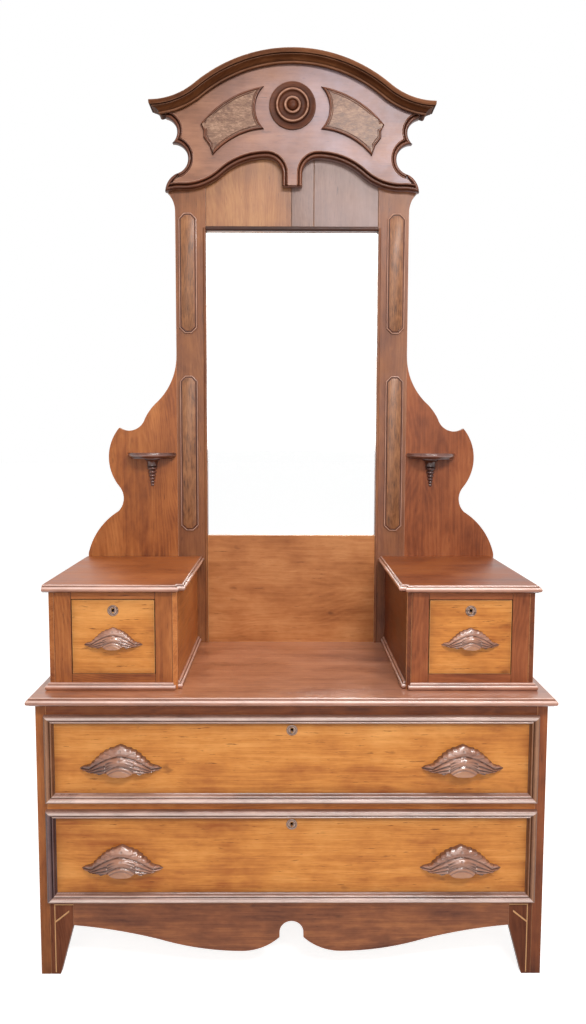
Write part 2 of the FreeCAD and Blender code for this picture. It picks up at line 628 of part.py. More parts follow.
def stile():
    """The right stile: from behind the case to behind the crest, flared out below the crest."""
    start = CREST_FOOT - FLARE_BELOW_CREST
    tip = (STILE_OUTER_X + FLARE_WIDTH, start + FLARE_HEIGHT)
    head_x = STILE_INNER_X + STILE_HEAD_WIDTH
    board = prism("y", (CASE_DEPTH, BACK_PLANE), (STILE_INNER_X, STILE_BOTTOM), [
        (STILE_OUTER_X, STILE_BOTTOM), (STILE_OUTER_X, start),
        (STILE_OUTER_X + FLARE_WIDTH / 4, start + FLARE_HEIGHT * 4 / 7) + tip,
        (tip[0] - 1.5 * FLARE_WIDTH, tip[1] + 1.5 * FLARE_WIDTH), (head_x, tip[1] + 2 * FLARE_WIDTH),
        (head_x, FRIEZE_TOP), (STILE_INNER_X, FRIEZE_TOP)])
    rabbet = block((STILE_INNER_X, STILE_INNER_X + GLASS_LAP + GLASS_CLEARANCE), (GLASS_FRONT, BACK_PLANE),
                   (GLASS_BOTTOM - GLASS_CLEARANCE, GLASS_TOP + GLASS_CLEARANCE))
    return board.cut(rabbet)


def splash_board():
    return block((-STILE_INNER_X, STILE_INNER_X), (PANEL_FRONT, GLASS_FRONT), (DECK, MIRROR_BOTTOM))


def frieze_boards():
    edges = (-STILE_INNER_X,) + FRIEZE_JOINTS + (STILE_INNER_X,)
    return [block(span, (PANEL_FRONT, GLASS_FRONT), (MIRROR_TOP, FRIEZE_TOP))
            for span in zip(edges, edges[1:])]


def sight_beads():
    """Half-round beads up the inner edges of the stiles and across the foot of the frieze."""
    x0, width, top = STILE_INNER_X, SIGHT_BEAD_WIDTH, MIRROR_TOP + SIGHT_BEAD_WIDTH
    crown = CASE_DEPTH - width / 2
    upright = prism("z", (DECK, top), (x0, CASE_DEPTH),
                    [(x0 + width / 2, crown, x0 + width, CASE_DEPTH)])
    across = prism("x", (-x0, x0), (PANEL_FRONT, MIRROR_TOP),
                   [(CASE_DEPTH, MIRROR_TOP), (crown, MIRROR_TOP + width / 2, CASE_DEPTH, top),
                    (PANEL_FRONT, top)])
    return both_sides([upright]) + [across]


def mirror_layer(front, thickness):
    half = STILE_INNER_X + GLASS_LAP
    return block((-half, half), (front, front + thickness), (GLASS_BOTTOM, GLASS_TOP))


def frame_rails():
    """Flat rails behind the splash board and the frieze, between the stiles."""
    below = GLASS_BOTTOM - GLASS_CLEARANCE
    above = GLASS_TOP + GLASS_CLEARANCE
    spans = ((below - FRAME_RAIL_HEIGHT, below), (above, above + FRAME_RAIL_HEIGHT),
             (FRIEZE_TOP - FRAME_RAIL_HEIGHT, FRIEZE_TOP))
    return [block((-STILE_INNER_X, STILE_INNER_X), (GLASS_FRONT, BACK_PLANE), span) for span in spans]


def clipped_plate(x, z, clip, thickness):
    """An upright plate on the face of a stile with its four corners cut off."""
    return prism("y", (CASE_DEPTH - thickness, CASE_DEPTH), (x[0] + clip, z[0]), [
        (x[1] - clip, z[0]), (x[1], z[0] + clip), (x[1], z[1] - clip), (x[1] - clip, z[1]),
        (x[0] + clip, z[1]), (x[0], z[1] - clip), (x[0], z[0] + clip)])


def stile_tablets():
    """Raised tablets with a stepped border, one above the other on each stile."""
    outer = STILE_OUTER_X - TABLET_INSET
    border = TABLET_BORDER
    tablets, low = [], MIRROR_BOTTOM + TABLET_FOOT
    for length in (TABLET_LOWER_LENGTH, TABLET_UPPER_LENGTH):
        x, z = (outer - TABLET_WIDTH, outer), (low, low + length)
        step = clipped_plate(x, z, TABLET_CLIP, TABLET_STEP)
        field = clipped_plate((x[0] + border, x[1] - border), (z[0] + border, z[1] - border),
                              TABLET_CLIP - border / 2, TABLET_RISE)
        tablets.append(united([step, field]))
        low += length + TABLET_SPACE
    return both_sides(tablets)


def shelf_turning(top, radius, height, section):
    outline = mapped((0, 0), section, lambda share, drop: (share * radius, top - drop * height))
    return turned_upright(SHELF_CENTRE_X, CASE_DEPTH, *outline)


def candle_shelf():
    """A half-round shelf with a moulded edge, against the face of the right wing."""
    return shelf_turning(SHELF_TOP, SHELF_RADIUS, SHELF_THICKNESS, SHELF_SECTION)


def shelf_drop():
    """A split turning under the shelf, tapering through beads to a point."""
    return shelf_turning(SHELF_TOP - SHELF_THICKNESS, DROP_RADIUS, DROP_LENGTH, DROP_SECTION)


# ---- crest ----
def arch_steps():
    """The arched top line from its crown to the right end, level at both."""
    both_radii = (ARCH_HALF_WIDTH ** 2 + ARCH_RISE ** 2) / (2 * ARCH_RISE)
    angle = math.degrees(math.asin(ARCH_HALF_WIDTH / both_radii))
    end_radius = both_radii - ARCH_CROWN_RADIUS
    return tangent_steps(ARCH_TOP, 0.0, [(ARCH_CROWN_RADIUS, -angle), (end_radius, angle)])


def crest_lower_edge():
    """The template edge, scaled to run from the foot of the pendant to the outer tip."""
    span = tangent_steps((0, 0), 90.0, CREST_LOWER_EDGE)[-1][-2]
    scale = (CREST_TIP_X - PENDANT_HALF_WIDTH) / span
    moves = [(move[0] * scale,) + move[1:] for move in CREST_LOWER_EDGE]
    return tangent_steps((PENDANT_HALF_WIDTH, CREST_FOOT), 90.0, moves)


def crest_scrolls():
    """The scrolled side edge, one arc at a time, from the tip up to the cornice."""
    last = CREST_LAST_SCROLL + (CREST_END_OUT / CREST_END_RISE, 1 - CORNICE_HEIGHT / CREST_END_RISE)
    return mapped((0, 0), CREST_SCROLLS + [last],
                  lambda a, b: (STILE_OUTER_X + a * CREST_END_RISE, CREST_FOOT + b * CREST_END_RISE))[1]


def crest_solid(y):
    """The whole crest outline between two depths."""
    half = prism("y", y, (0, CREST_FOOT), [(PENDANT_HALF_WIDTH, CREST_FOOT)] + crest_lower_edge()
                 + crest_scrolls() + [(CREST_END_X, ARCH_END_HEIGHT), (ARCH_HALF_WIDTH, ARCH_END_HEIGHT)]
                 + reversed_steps(ARCH_TOP, arch_steps())[1])
    past_end = block((CREST_END_X, ARCH_HALF_WIDTH + 1), (y[0] - 1, y[1] + 1),
                     (ARCH_END_HEIGHT - 1, ARCH_TOP[1]))
    half = half.cut(past_end)
    return united([half, mirrored(half)])


def band_profile():
    """The crest's edge moulding: full height next to the face, falling to the outer edge."""
    rise = CREST_FACE_THICKNESS
    return (0.0, 0.0), [(CREST_BAND, 0.0), (CREST_BAND, rise), (0.0, rise / 3)]


def band_blank():
    """The plain strip that the edge moulding takes the place of."""
    rise = CREST_FACE_THICKNESS + 1
    return (-1.0, 0.0), [(CREST_BAND, 0.0), (CREST_BAND, rise), (-1.0, rise)]


def band_paths():
    """Where each piece of the right half's edge moulding starts, and its steps."""
    paths = [((PENDANT_HALF_WIDTH, CREST_FOOT), crest_lower_edge())]
    for scroll in crest_scrolls():
        paths.append((paths[-1][1][-1][-2:], [scroll]))
    return paths


def half_plane(point, angle, side):
    """Everything on one side of a line through a point: side 1 is left of the angle, -1 right."""
    far = CREST_END_X
    along = (math.cos(math.radians(angle)) * far, math.sin(math.radians(angle)) * far)
    across = (-along[1] * side, along[0] * side)
    back = (point[0] - along[0], point[1] - along[1])
    front = (point[0] + along[0], point[1] + along[1])
    return prism("y", (CREST_FACE - CREST_BAND, CASE_DEPTH), back,
                 [front, (front[0] + across[0], front[1] + across[1]),
                  (back[0] + across[0], back[1] + across[1])])


def crest_band():
    """The edge moulding of the right half in four pieces, mitred where they meet."""
    paths = band_paths()
    runs = [moulded_run(*path, *band_profile(), BACKING_FACE) for path in paths]
    for i in range(len(paths) - 1):
        start, steps = paths[i]
        before = steps[-2][-2:] if len(steps) > 1 else start
        heading, turn = travel(before, steps[-1])
        arriving = heading + turn
        corner, following = paths[i + 1]
        bend = (travel(corner, following[0])[0] - arriving) % 360.0
        inward = arriving + 90.0 + bend / 2
        runs[i] = runs[i].common(half_plane(corner, inward, 1))
        runs[i + 1] = runs[i + 1].common(half_plane(corner, inward, -1))
    return runs


def crest_board():
    """The crest: a full backing and a thicker face inside the moulded edge."""
    backing = crest_solid((BACKING_FACE, CASE_DEPTH))
    blanks = [moulded_run(*path, *band_blank(), BACKING_FACE) for path in band_paths()]
    face = crest_solid((CREST_FACE, BACKING_FACE)).cut(Part.makeCompound(both_sides(blanks)))
    return united([backing] + face.Solids)


def cornice_profile():
    """Fascia, cove and bead: (height from the arched top line, distance forward)."""
    return mapped((0, 0), CORNICE_SECTION,
                  lambda drop, out: (-drop * CORNICE_HEIGHT, out * CORNICE_PROJECTION))


def cornice():
    """The right half: the arched run, mitred at its end to a short level return."""
    run = moulded_run(ARCH_TOP, arch_steps(), *cornice_profile(), CREST_FACE)
    front = CREST_FACE - CORNICE_PROJECTION
    end_return = prism("y", (front, CASE_DEPTH), *mapped(
        *cornice_profile(), lambda height, out: (CREST_END_X + out, ARCH_END_HEIGHT + height)))
    behind = prism("z", (ARCH_END_HEIGHT - CORNICE_HEIGHT - 1, ARCH_TOP[1] + 1), (CREST_END_X, CREST_FACE),
                   [(ARCH_HALF_WIDTH + 1, front - 1), (ARCH_HALF_WIDTH + 1, CASE_DEPTH),
                    (CREST_END_X, CASE_DEPTH)])
    return [run.cut(behind), end_return.common(behind)]


def boss():
    """A turned boss: a flat rim, a large ring and a centre knob."""
    z = CREST_FOOT + BOSS_RISE
    profile = mapped((0, 0), BOSS_SECTION,
                     lambda share, out: (share * BOSS_RADIUS, CREST_FACE - out * BOSS_HEIGHT))
    return flat_face("z", z, *profile).revolve(Vector(0, CREST_FACE, z), Vector(0, 1, 0), 360.0)


def crest_panel():
    """The right raised panel, with concave corners."""
    inner = BOSS_RADIUS + CREST_PANEL_GAP
    width = CREST_END_X - CREST_PANEL_INSET - inner
    outline = mapped(CREST_PANEL_OUTLINE[0], CREST_PANEL_OUTLINE[1:],
                     lambda share, rise: (inner + share * width, CREST_FOOT + rise * CREST_END_RISE))
    return prism("y", (CREST_FACE - CREST_PANEL_RISE, CREST_FACE), *outline)


# ---- drawers ----
def leaf_pull(centre_x, bottom, plane, width):
    """A hooded pull: the leaf cut from a bevelled block and hollowed below for the fingers."""
    scale = width / LEAF_WIDTH
    start, left = reversed_steps(*mapped(LEAF_PEAK, LEAF_EDGE, lambda u, v: (-u, v)))
    outline = mapped(LEAF_PEAK, LEAF_EDGE + left, lambda u, v: (centre_x + u * scale, bottom + v * scale))
    left_hood = [(-u, out) for u, out in reversed(HOOD_SECTION)]
    hood = [(centre_x + u * scale, plane - out * scale) for u, out in HOOD_SECTION + left_hood]
    ends = [(centre_x + u * scale, plane) for u in (-LEAF_WIDTH / 2, LEAF_WIDTH / 2)]
    rise = mapped((0, 0), HOOD_RISE, lambda out, up: (plane - out * scale, bottom + up * scale))
    leaf = prism("y", (plane - HOOD_SECTION[-1][1] * scale, plane), *outline)
    leaf = leaf.common(prism("z", (bottom, bottom + LEAF_PEAK[1] * scale), ends[0], [ends[1]] + hood))
    leaf = leaf.common(prism("x", (ends[0][0], ends[1][0]), *rise))
    finger = FINGER_HOLLOW_RADIUS * scale
    reach = FINGER_HOLLOW_HALF * scale
    hollow = Part.makeCylinder(finger, 2 * reach, Vector(centre_x - reach, plane - finger, bottom),
                               Vector(1, 0, 0))
    return leaf.cut(hollow)


def key_slot(x, y, z):
    """The way for the key through the drawer front and into the lock, between two depths."""
    return block((x - KEYHOLE_RADIUS, x + KEYHOLE_RADIUS), y,
                 (z - KEYHOLE_LENGTH / 2, z + KEYHOLE_LENGTH / 2))


def escutcheon(x, plane, z):
    """A round plate on the drawer front; its keyhole is a wide hole with a narrower slot below."""
    front = plane - ESCUTCHEON_THICKNESS
    plate = Part.makeCylinder(ESCUTCHEON_RADIUS, ESCUTCHEON_THICKNESS, Vector(x, front, z), Vector(0, 1, 0))
    r, foot, top = KEYHOLE_RADIUS, z - KEYHOLE_LENGTH / 2, z + KEYHOLE_LENGTH / 2
    hole = prism("y", (front, plane), (x - r / 2, foot), [
        (x + r / 2, foot), (x + r / 2, top - 2 * r), (x + r, top - 1.4 * r), (x + r, top - 0.6 * r),
        (x + r / 2, top), (x - r / 2, top), (x - r, top - 0.6 * r), (x - r, top - 1.4 * r),
        (x - r / 2, top - 2 * r)])
    return plate.cut(hole)


def dovetails(x, y_root, z):
    """Tails on the front end of a drawer side, spreading toward the drawer front."""
    pitch = (z[1] - z[0]) / TAIL_COUNT
    tip = y_root - TAIL_LENGTH
    tails = []
    for i in range(TAIL_COUNT):
        middle, half = z[0] + pitch * (i + 0.5), pitch * 0.3
        tails.append(prism("x", x, (y_root, middle - half), [
            (tip, middle - half - TAIL_SPREAD), (tip, middle + half + TAIL_SPREAD), (y_root, middle + half)]))
    return tails


def drawer(opening_x, opening_z, plane, depth, front_thickness, pull_xs, pull_rise, pull_width, key_drop):
    """All the pieces of one drawer, by name, in its opening."""
    x = (opening_x[0] + DRAWER_GAP, opening_x[1] - DRAWER_GAP)
    z = (opening_z[0] + RUNNING_GAP, opening_z[1] - DRAWER_GAP)
    middle = sum(x) / 2
    inside = plane + front_thickness
    side_z = (z[0], z[1] - DRAWER_SIDE_DROP)
    end = plane + depth
    spans = [(x[0], x[0] + DRAWER_SIDE_THICKNESS), (x[1] - DRAWER_SIDE_THICKNESS, x[1])]
    tails = [dovetails(span, inside, side_z) for span in spans]

    groove_z = (z[0] + DRAWER_BOTTOM_RAISE, z[0] + DRAWER_BOTTOM_RAISE + DRAWER_BOTTOM_THICKNESS)
    back_front = end - DRAWER_SIDE_THICKNESS
    bottom = block((spans[0][1] - DRAWER_GROOVE, spans[1][0] + DRAWER_GROOVE),
                   (inside - DRAWER_GROOVE, end), groove_z)
    sides = [united([block(span, (inside, end), side_z)] + group).cut(bottom)
             for span, group in zip(spans, tails)]
    back = block((spans[0][1], spans[1][0]), (back_front, end), (groove_z[1], side_z[1]))

    key_z = opening_z[1] - key_drop
    lock_y = (inside - LOCK_THICKNESS, inside)
    lock_z = (key_z - LOCK_BELOW_KEY, z[1])
    case = block((middle - LOCK_WIDTH / 2, middle + LOCK_WIDTH / 2), lock_y, lock_z)
    y_bolt = sum(lock_y) / 2
    bolt_z = (z[1] - RUNNING_GAP - BOLT_HEIGHT, z[1] - RUNNING_GAP)
    bolt = upright_bar(middle, y_bolt, BOLT_WIDTH, BOLT_THICKNESS, bolt_z)
    channel = upright_bar(middle, y_bolt, BOLT_WIDTH + 2 * BOLT_CLEARANCE,
                          BOLT_THICKNESS + 2 * BOLT_CLEARANCE, (bolt_z[0] - BOLT_CLEARANCE, z[1]))
    slot = key_slot(middle, (plane, y_bolt + BOLT_THICKNESS / 2), key_z)
    front = block(x, (plane, inside), z).cut(Part.makeCompound(tails[0] + tails[1] + [bottom, case, slot]))
    return {
        "front": front,
        "box": sides + [back, bottom],
        "pulls": [leaf_pull(px, opening_z[0] + pull_rise, plane, pull_width) for px in pull_xs],
        "escutcheon": escutcheon(middle, plane, key_z),
        "lock": case.cut(channel).cut(slot),
        "bolt": bolt,
    }


def drawer_moulding_profile():
    """A large bead, a quirk, a small bead and a fall to the drawer front."""
    w, h = MOULDING_WIDTH, MOULDING_HEIGHT
    return (0, 0), [(0, h - 5), (1.5, h - 4.5), (3.5, h - 1), (6.0, h), (8.5, h - 1), (10.5, h - 4.5),
                    (11.5, h - 6), (14.0, h - 3.5), (16.5, h - 7), (w - 1.5, h - 10), (w, 2.0), (w, 0)]


def long_drawer(opening_z):
    pieces = drawer((-INNER_HALF, INNER_HALF), opening_z, 0.0,
                    CASE_DEPTH - BACK_BOARD_THICKNESS - DRAWER_BACK_SPACE, LONG_FRONT_THICKNESS,
                    (-LONG_PULL_X, LONG_PULL_X), LONG_PULL_RISE, LONG_PULL_WIDTH, LONG_KEY_DROP)
    half = INNER_HALF + MOULDING_LIP
    upright = (opening_z[0] - MOULDING_LIP, opening_z[1] + MOULDING_LIP)
    pieces["moulding"] = mitred_frame((-half, half), upright, MOULDING_WIDTH, 0.0, *drawer_moulding_profile())
    return pieces


def deck_drawer(opening_x):
    pieces = drawer(opening_x, DECK_OPENING_Z, BOX_SETBACK, CASE_DEPTH - BOX_SETBACK - DRAWER_BACK_SPACE,
                    DECK_FRONT_THICKNESS, (sum(opening_x) / 2,), DECK_PULL_RISE, DECK_PULL_WIDTH,
                    DECK_KEY_DROP)
    pieces["pull"] = pieces.pop("pulls")
    return pieces


# ---- all nodes ----
def export(node, shapes):
    """One file per node, its solids side by side."""
    shapes = shapes if isinstance(shapes, list) else [shapes]
    solids = [solid for shape in shapes for solid in shape.Solids]
    group = solids[0] if len(solids) == 1 else Part.makeCompound(solids)
    moved = group.copy()
    moved.translate(Vector(0, -ORIGIN_Y, 0))
    moved.exportStep("parts/" + node + ".step")


def main():
    os.makedirs("parts", exist_ok=True)
    for side, place in (("right", lambda shape: shape), ("left", mirrored)):
        export("case_side_" + side, place(case_side()))
        export("box_top_" + side, place(box_top()))
        export("wing_" + side, place(wing()))
        export("stile_" + side, place(stile()))
    export("main_top", main_top())
    export("case_back_boards", back_boards())
    export("case_front_rails", front_rails())
    export("drawer_runners", drawer_runners())
    export("apron", apron())
    export("foot_brackets", foot_brackets())
    export("foot_inlay", foot_inlay())
    export("glue_blocks", glue_blocks())
    export("box_front_frames", both_sides(box_front_frame()))
    export("box_sides", both_sides(box_sides()))
    export("box_base_mouldings", both_sides(box_base_mouldings()))
    export("deck_runners", both_sides(deck_runners()))
    export("splash_board", splash_board())
    export("frieze_boards", frieze_boards())
    export("sight_beads", sight_beads())
    export("mirror_glass", mirror_layer(GLASS_FRONT, GLASS_THICKNESS))
    export("mirror_back_board", mirror_layer(GLASS_FRONT + GLASS_THICKNESS, MIRROR_BACK_THICKNESS))
    export("frame_rails", frame_rails())
    export("stile_tablets", stile_tablets())
    export("candle_shelves", both_sides([candle_shelf()]))
    export("shelf_drops", both_sides([shelf_drop()]))
    export("crest_board", crest_board())
    export("crest_edge_moulding", both_sides(crest_band()))
    export("crest_cornice", both_sides(cornice()))
    export("crest_carvings", both_sides([crest_panel()]) + [boss()])

    drawers = {
        "lower_long": long_drawer(LOWER_OPENING),
        "upper_long": long_drawer(UPPER_OPENING),
        "right_deck": deck_drawer(DECK_OPENING_X),
        "left_deck": deck_drawer((-DECK_OPENING_X[1], -DECK_OPENING_X[0])),
    }
    for name, pieces in drawers.items():
        for piece, shapes in pieces.items():
            export(name + "_" + piece, shapes)


main()
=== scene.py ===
"""Looks of the dresser with mirror: shaped wood, carved pulls, materials, light and camera."""
import json
import math
import random

import bmesh
import bpy
import numpy as np
from mathutils import Matrix, Vector


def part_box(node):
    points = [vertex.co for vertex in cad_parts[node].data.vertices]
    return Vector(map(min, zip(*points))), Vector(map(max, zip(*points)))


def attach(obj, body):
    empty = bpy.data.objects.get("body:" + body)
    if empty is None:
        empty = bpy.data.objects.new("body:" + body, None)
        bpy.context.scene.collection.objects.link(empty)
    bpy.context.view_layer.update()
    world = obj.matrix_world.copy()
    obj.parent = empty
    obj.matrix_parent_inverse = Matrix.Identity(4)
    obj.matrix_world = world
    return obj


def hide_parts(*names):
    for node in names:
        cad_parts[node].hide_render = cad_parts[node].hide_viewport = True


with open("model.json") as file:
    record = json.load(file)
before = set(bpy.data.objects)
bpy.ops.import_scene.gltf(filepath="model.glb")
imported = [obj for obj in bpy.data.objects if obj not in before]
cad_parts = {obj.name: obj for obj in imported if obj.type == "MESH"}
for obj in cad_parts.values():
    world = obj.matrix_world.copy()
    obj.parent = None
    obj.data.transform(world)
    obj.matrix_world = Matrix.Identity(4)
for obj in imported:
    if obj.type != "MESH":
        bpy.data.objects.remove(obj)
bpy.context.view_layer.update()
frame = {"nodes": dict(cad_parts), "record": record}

record = frame["record"]
BODY = {node: body for body, nodes in record["behaviour"]["bodies"].items() for node in nodes}
DRAWERS = ("upper_long", "lower_long", "right_deck", "left_deck")
chance = random.Random(41)

# Sizes are in millimetres, measured from the case's front face and the floor.
CASE_FRONT_Y = 225.0
CASE_DEPTH = 458.0
DECK_DRAWER_Y = 35.0
STILE_X = (219.5, 297.0)
MIRROR_TOP = 1692.5
CREST_FACE_Y = 432.0
CREST_BACKING_Y = 446.0
CREST_FOOT = 1799.0


def at(x, y, z):
    """A point of the scene, in metres."""
    return Vector((x / 1000, (y - CASE_FRONT_Y) / 1000, z / 1000))


def facing(plane):
    """Places an upright outline (x, z) at a height forward of a plane."""
    return lambda a, b, out: at(a, plane - out, b)


def limits(node):
    """Lowest and highest corner of a CAD node in millimetres from the case front and the floor."""
    low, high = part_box(node)
    shift = Vector((0, CASE_FRONT_Y, 0))
    return low * 1000 + shift, high * 1000 + shift


def shown(name, data):
    """A new object in the scene."""
    made = bpy.data.objects.new(name, data)
    bpy.context.scene.collection.objects.link(made)
    return made


# ---------- materials
def rgb(colour):
    """A colour from its 0 to 255 screen values."""
    shares = [value / 255 for value in colour]
    return tuple(c / 12.92 if c <= 0.04045 else ((c + 0.055) / 1.055) ** 2.4 for c in shares) + (1.0,)


def darker(colour, red, rest):
    """A colour with only these shares of its red and of its green and blue."""
    return colour[0] * red, colour[1] * rest, colour[2] * rest, 1


class Nodes:
    """A node tree under construction. What adds a node returns its output."""

    def __init__(self, tree):
        self.tree = tree

    def feed(self, socket, value):
        if isinstance(value, bpy.types.NodeSocket):
            self.tree.links.new(value, socket)
        else:
            socket.default_value = value

    def node(self, kind, inputs=(), output=0, **settings):
        made = self.tree.nodes.new(kind)
        for key, value in settings.items():
            setattr(made, key, value)
        for key, value in dict(inputs).items():
            self.feed(made.inputs[key], value)
        return made.outputs[output]

    def math(self, operation, a, b=0.0, c=0.0, clamp=False):
        return self.node("ShaderNodeMath", {0: a, 1: b, 2: c}, operation=operation, use_clamp=clamp)

    def times(self, a, b, plus=0.0, clamp=False):
        return self.math("MULTIPLY_ADD", a, b, plus, clamp)

    def attribute(self, name, output=2):
        return self.node("ShaderNodeAttribute", output=output, attribute_name=name)

    def place(self):
        return self.node("ShaderNodeTexCoord", output=3)

    def noise(self, vector, scale=1, detail=2, roughness=0.5, distortion=0):
        return self.node("ShaderNodeTexNoise", {"Vector": vector, "Scale": scale, "Detail": detail,
                                                "Roughness": roughness, "Distortion": distortion})

    def streaks(self, grain, along, across, **kind):
        """Noise at its own scale along the grain and across it."""
        drawn = self.node("ShaderNodeVectorMath", {0: grain, 1: (along, across, across)}, operation="MULTIPLY")
        return self.noise(drawn, **kind)

    def mix(self, factor, a, b, blend="MIX"):
        return self.node("ShaderNodeMix", {0: factor, 6: a, 7: b}, output=2, data_type="RGBA",
                         blend_type=blend, clamp_result=True)

    def ramp(self, factor, stops):
        made = self.node("ShaderNodeValToRGB", {0: factor})
        elements = made.node.color_ramp.elements
        for i, (place, colour) in enumerate(stops):
            element = elements[i] if i < 2 else elements.new(place)
            element.position = place
            element.color = colour
        return made

    def band(self, value, low=0.3, high=0.7, to_low=0, to_high=1):
        """A value spread from one range to another, held at the ends."""
        return self.node("ShaderNodeMapRange", {0: value, 1: low, 2: high, 3: to_low, 4: to_high})

    def bump(self, height, strength, distance=0.0006):
        return self.node("ShaderNodeBump", {"Strength": strength, "Distance": distance, "Height": height})

    def seen_by(self, first, *others):
        """1 for these kinds of ray and 0 for all the rest."""
        paths = self.tree.nodes.new("ShaderNodeLightPath").outputs
        found = paths[f"Is {first} Ray"]
        for kind in others:
            found = self.math("MAXIMUM", found, paths[f"Is {kind} Ray"])
        return found


class Finish(Nodes):
    """A material under construction."""

    def __init__(self, name):
        self.material = bpy.data.materials.new(name)
        self.material.use_nodes = True
        super().__init__(self.material.node_tree)

    def surface(self, inputs):
        """Sets the shader's inputs and hands the material over."""
        for name, value in inputs.items():
            self.feed(self.tree.nodes["Principled BSDF"].inputs[name], value)
        return self.material


def wood(name, dark, middle, light, worn=None, figure=0.5, rough=0.38, coat=0, dust_and_shade_depth=0.75, bump=0.35,
         streak=1, painted_sheen=0, marks=0.5, rub_and_glint=0, gleam=0.24, contrast=1.15, knots=0, polish=0.16,
         edge_spread=(0.3, 0.95), sheen_tint=(176, 158, 162)):
    """Planed, varnished wood whose grain runs along the first part of the "grain" attribute."""
    worn, dark, middle, light, sheen_tint = map(rgb, (worn or light, dark, middle, light, sheen_tint))
    f = Finish(name)
    grain = f.attribute("grain", 1)

    # The growth rings are tubes about the grain's own line, bent by a slow warp.
    split = f.node("ShaderNodeSeparateXYZ", {0: grain}).node.outputs
    bend = f.times(f.streaks(grain, 3, 9, detail=3), 0.13, -0.065)
    across = f.math("ADD", f.times(split[0], 0.03, split[1]), bend)
    deep = f.math("ADD", split[2], f.times(bend, 0.4))
    radius = f.math("SQRT", f.math("ADD", f.times(across, across), f.times(deep, deep)))
    spread = f.streaks(grain, 0.7, 6, detail=1)
    rings = f.times(radius, f.band(spread, to_low=330, to_high=620))
    ring = f.math("POWER", f.times(f.math("SINE", rings), 0.5, 0.5), 1.6)

    fine = f.streaks(grain, 9, 420, detail=3, roughness=0.6)
    medium = f.streaks(grain, 2.2, 74, detail=3, roughness=0.6)
    broad = f.streaks(grain, 2, 13, detail=4, roughness=0.6)
    cloud = f.streaks(grain, 0.6, 1, scale=14, detail=4, roughness=0.62)
    shares = ((f.band(medium), 0.2 * streak), (f.band(broad), 0.33), (ring, 0.22 * figure),
              (f.band(fine), 0.13 * streak), (f.band(cloud, 0.32, 0.68), 0.34))
    tone = 0.0
    for part, share in shares:
        tone = f.times(part, share, tone)
    top = sum(share for _, share in shares)
    half = 0.36 / contrast
    colour = f.ramp(tone, [((0.5 - half) * top, dark), ((0.5 + half) * top, light), (0.5 * top, middle)])

    pores = f.streaks(grain, 34, 1100, detail=1)
    colour = f.mix(f.band(pores, 0.6, 0.75, 0, 0.4), colour, dark, "MULTIPLY")
    spots = f.streaks(grain, 20, 210, detail=3, roughness=0.7)
    deep_brown = darker(dark, 0.35, 0.3)
    colour = f.mix(f.band(spots, 0.64, 0.73, 0, marks), colour, deep_brown)
    if knots:
        colour = f.mix(f.band(f.streaks(grain, 15, 30), 0.7, 0.77, 0, knots), colour, deep_brown)
    # Painted sheen: a lilac-grey veil mixed into the colour in clouds, rising towards the right, stands in for
    # a lamp's reflection.
    if painted_sheen:
        sheen_cloud = f.band(f.noise(grain, scale=5, detail=5, roughness=0.65), 0.35, 0.68, 0.25 * painted_sheen, painted_sheen)
        to_right = f.band(f.node("ShaderNodeSeparateXYZ", {0: f.place()}), -0.24, 0.33, 0, 1.55)
        colour = f.mix(f.times(sheen_cloud, to_right), colour, sheen_tint)

    # The edge colour goes on bevels and on crowns marked below zero: abrasion, and where it is pale a painted
    # highlight.
    edge, dust_and_shade = f.attribute("edge"), f.attribute("dust_and_shade")
    patches = f.streaks(grain, 0.4, 1, scale=70, detail=3, roughness=0.7)
    colour = f.mix(f.times(edge, f.band(patches, 0.34, 0.64, *edge_spread)), colour, worn)
    # Streaks of the edge colour along the grain paint glints and scratches, kept out of the painted shade.
    if rub_and_glint:
        glint_streaks = f.streaks(grain, 9, 90, detail=4, roughness=0.7)
        clean_and_unshaded = f.math("SUBTRACT", 1, f.times(dust_and_shade, 1.6), clamp=True)
        colour = f.mix(f.times(clean_and_unshaded, f.band(glint_streaks, 0.4, 0.7, 0, rub_and_glint)), colour, worn)
    # Painted shade with some dust: points marked dark, in quirks, coves, grooves and hollows, take a deep
    # brown.
    shading_dust_and_bareness = f.band(f.noise(grain, scale=38, detail=3), 0.2, 0.7, dust_and_shade_depth * 0.6, dust_and_shade_depth)
    colour = f.mix(f.times(dust_and_shade, shading_dust_and_bareness), colour, darker(dark, 0.22, 0.18))

    height = f.times(patches, 0.3, f.times(fine, 0.6, f.times(pores, -0.5)))
    gloss = f.times(dust_and_shade, 0.25, f.times(f.band(cloud), 0.12, rough - 0.06), clamp=True)
    return f.surface({"Base Color": colour, "Roughness": gloss, "Normal": f.bump(height, bump),
                      "Specular IOR Level": gleam, "Coat Weight": coat, "Coat Roughness": polish})


def burl(name, dark, middle, light, stretch=(28, 75), coat=0.2):
    """Short, curled figure in a small raised field."""
    dark, middle, light = map(rgb, (dark, middle, light))
    f = Finish(name)
    grain = f.attribute("grain", 1)
    curl = f.streaks(grain, 20, 34, detail=3, distortion=1.4)
    fleck = f.streaks(grain, *stretch, scale=4.2, detail=4, roughness=0.7, distortion=0.7)
    fine = f.streaks(grain, 60, 620)
    tone = f.times(f.band(fleck, 0.33, 0.66), 0.55, f.times(f.band(curl), 0.3))
    tone = f.times(f.band(fine), 0.15, tone)
    colour = f.ramp(tone, [(0.15, dark), (0.85, light), (0.5, middle)])
    colour = f.mix(f.times(f.attribute("dust_and_shade"), 0.8), colour, darker(dark, 0.3, 0.25))
    height = f.times(fleck, 0.8, f.times(fine, 0.4))
    return f.surface({"Base Color": colour, "Roughness": f.band(fleck, to_low=0.32, to_high=0.5),
                      "Normal": f.bump(height, 0.5), "Specular IOR Level": 0.3, "Coat Weight": coat,
                      "Coat Roughness": 0.2})


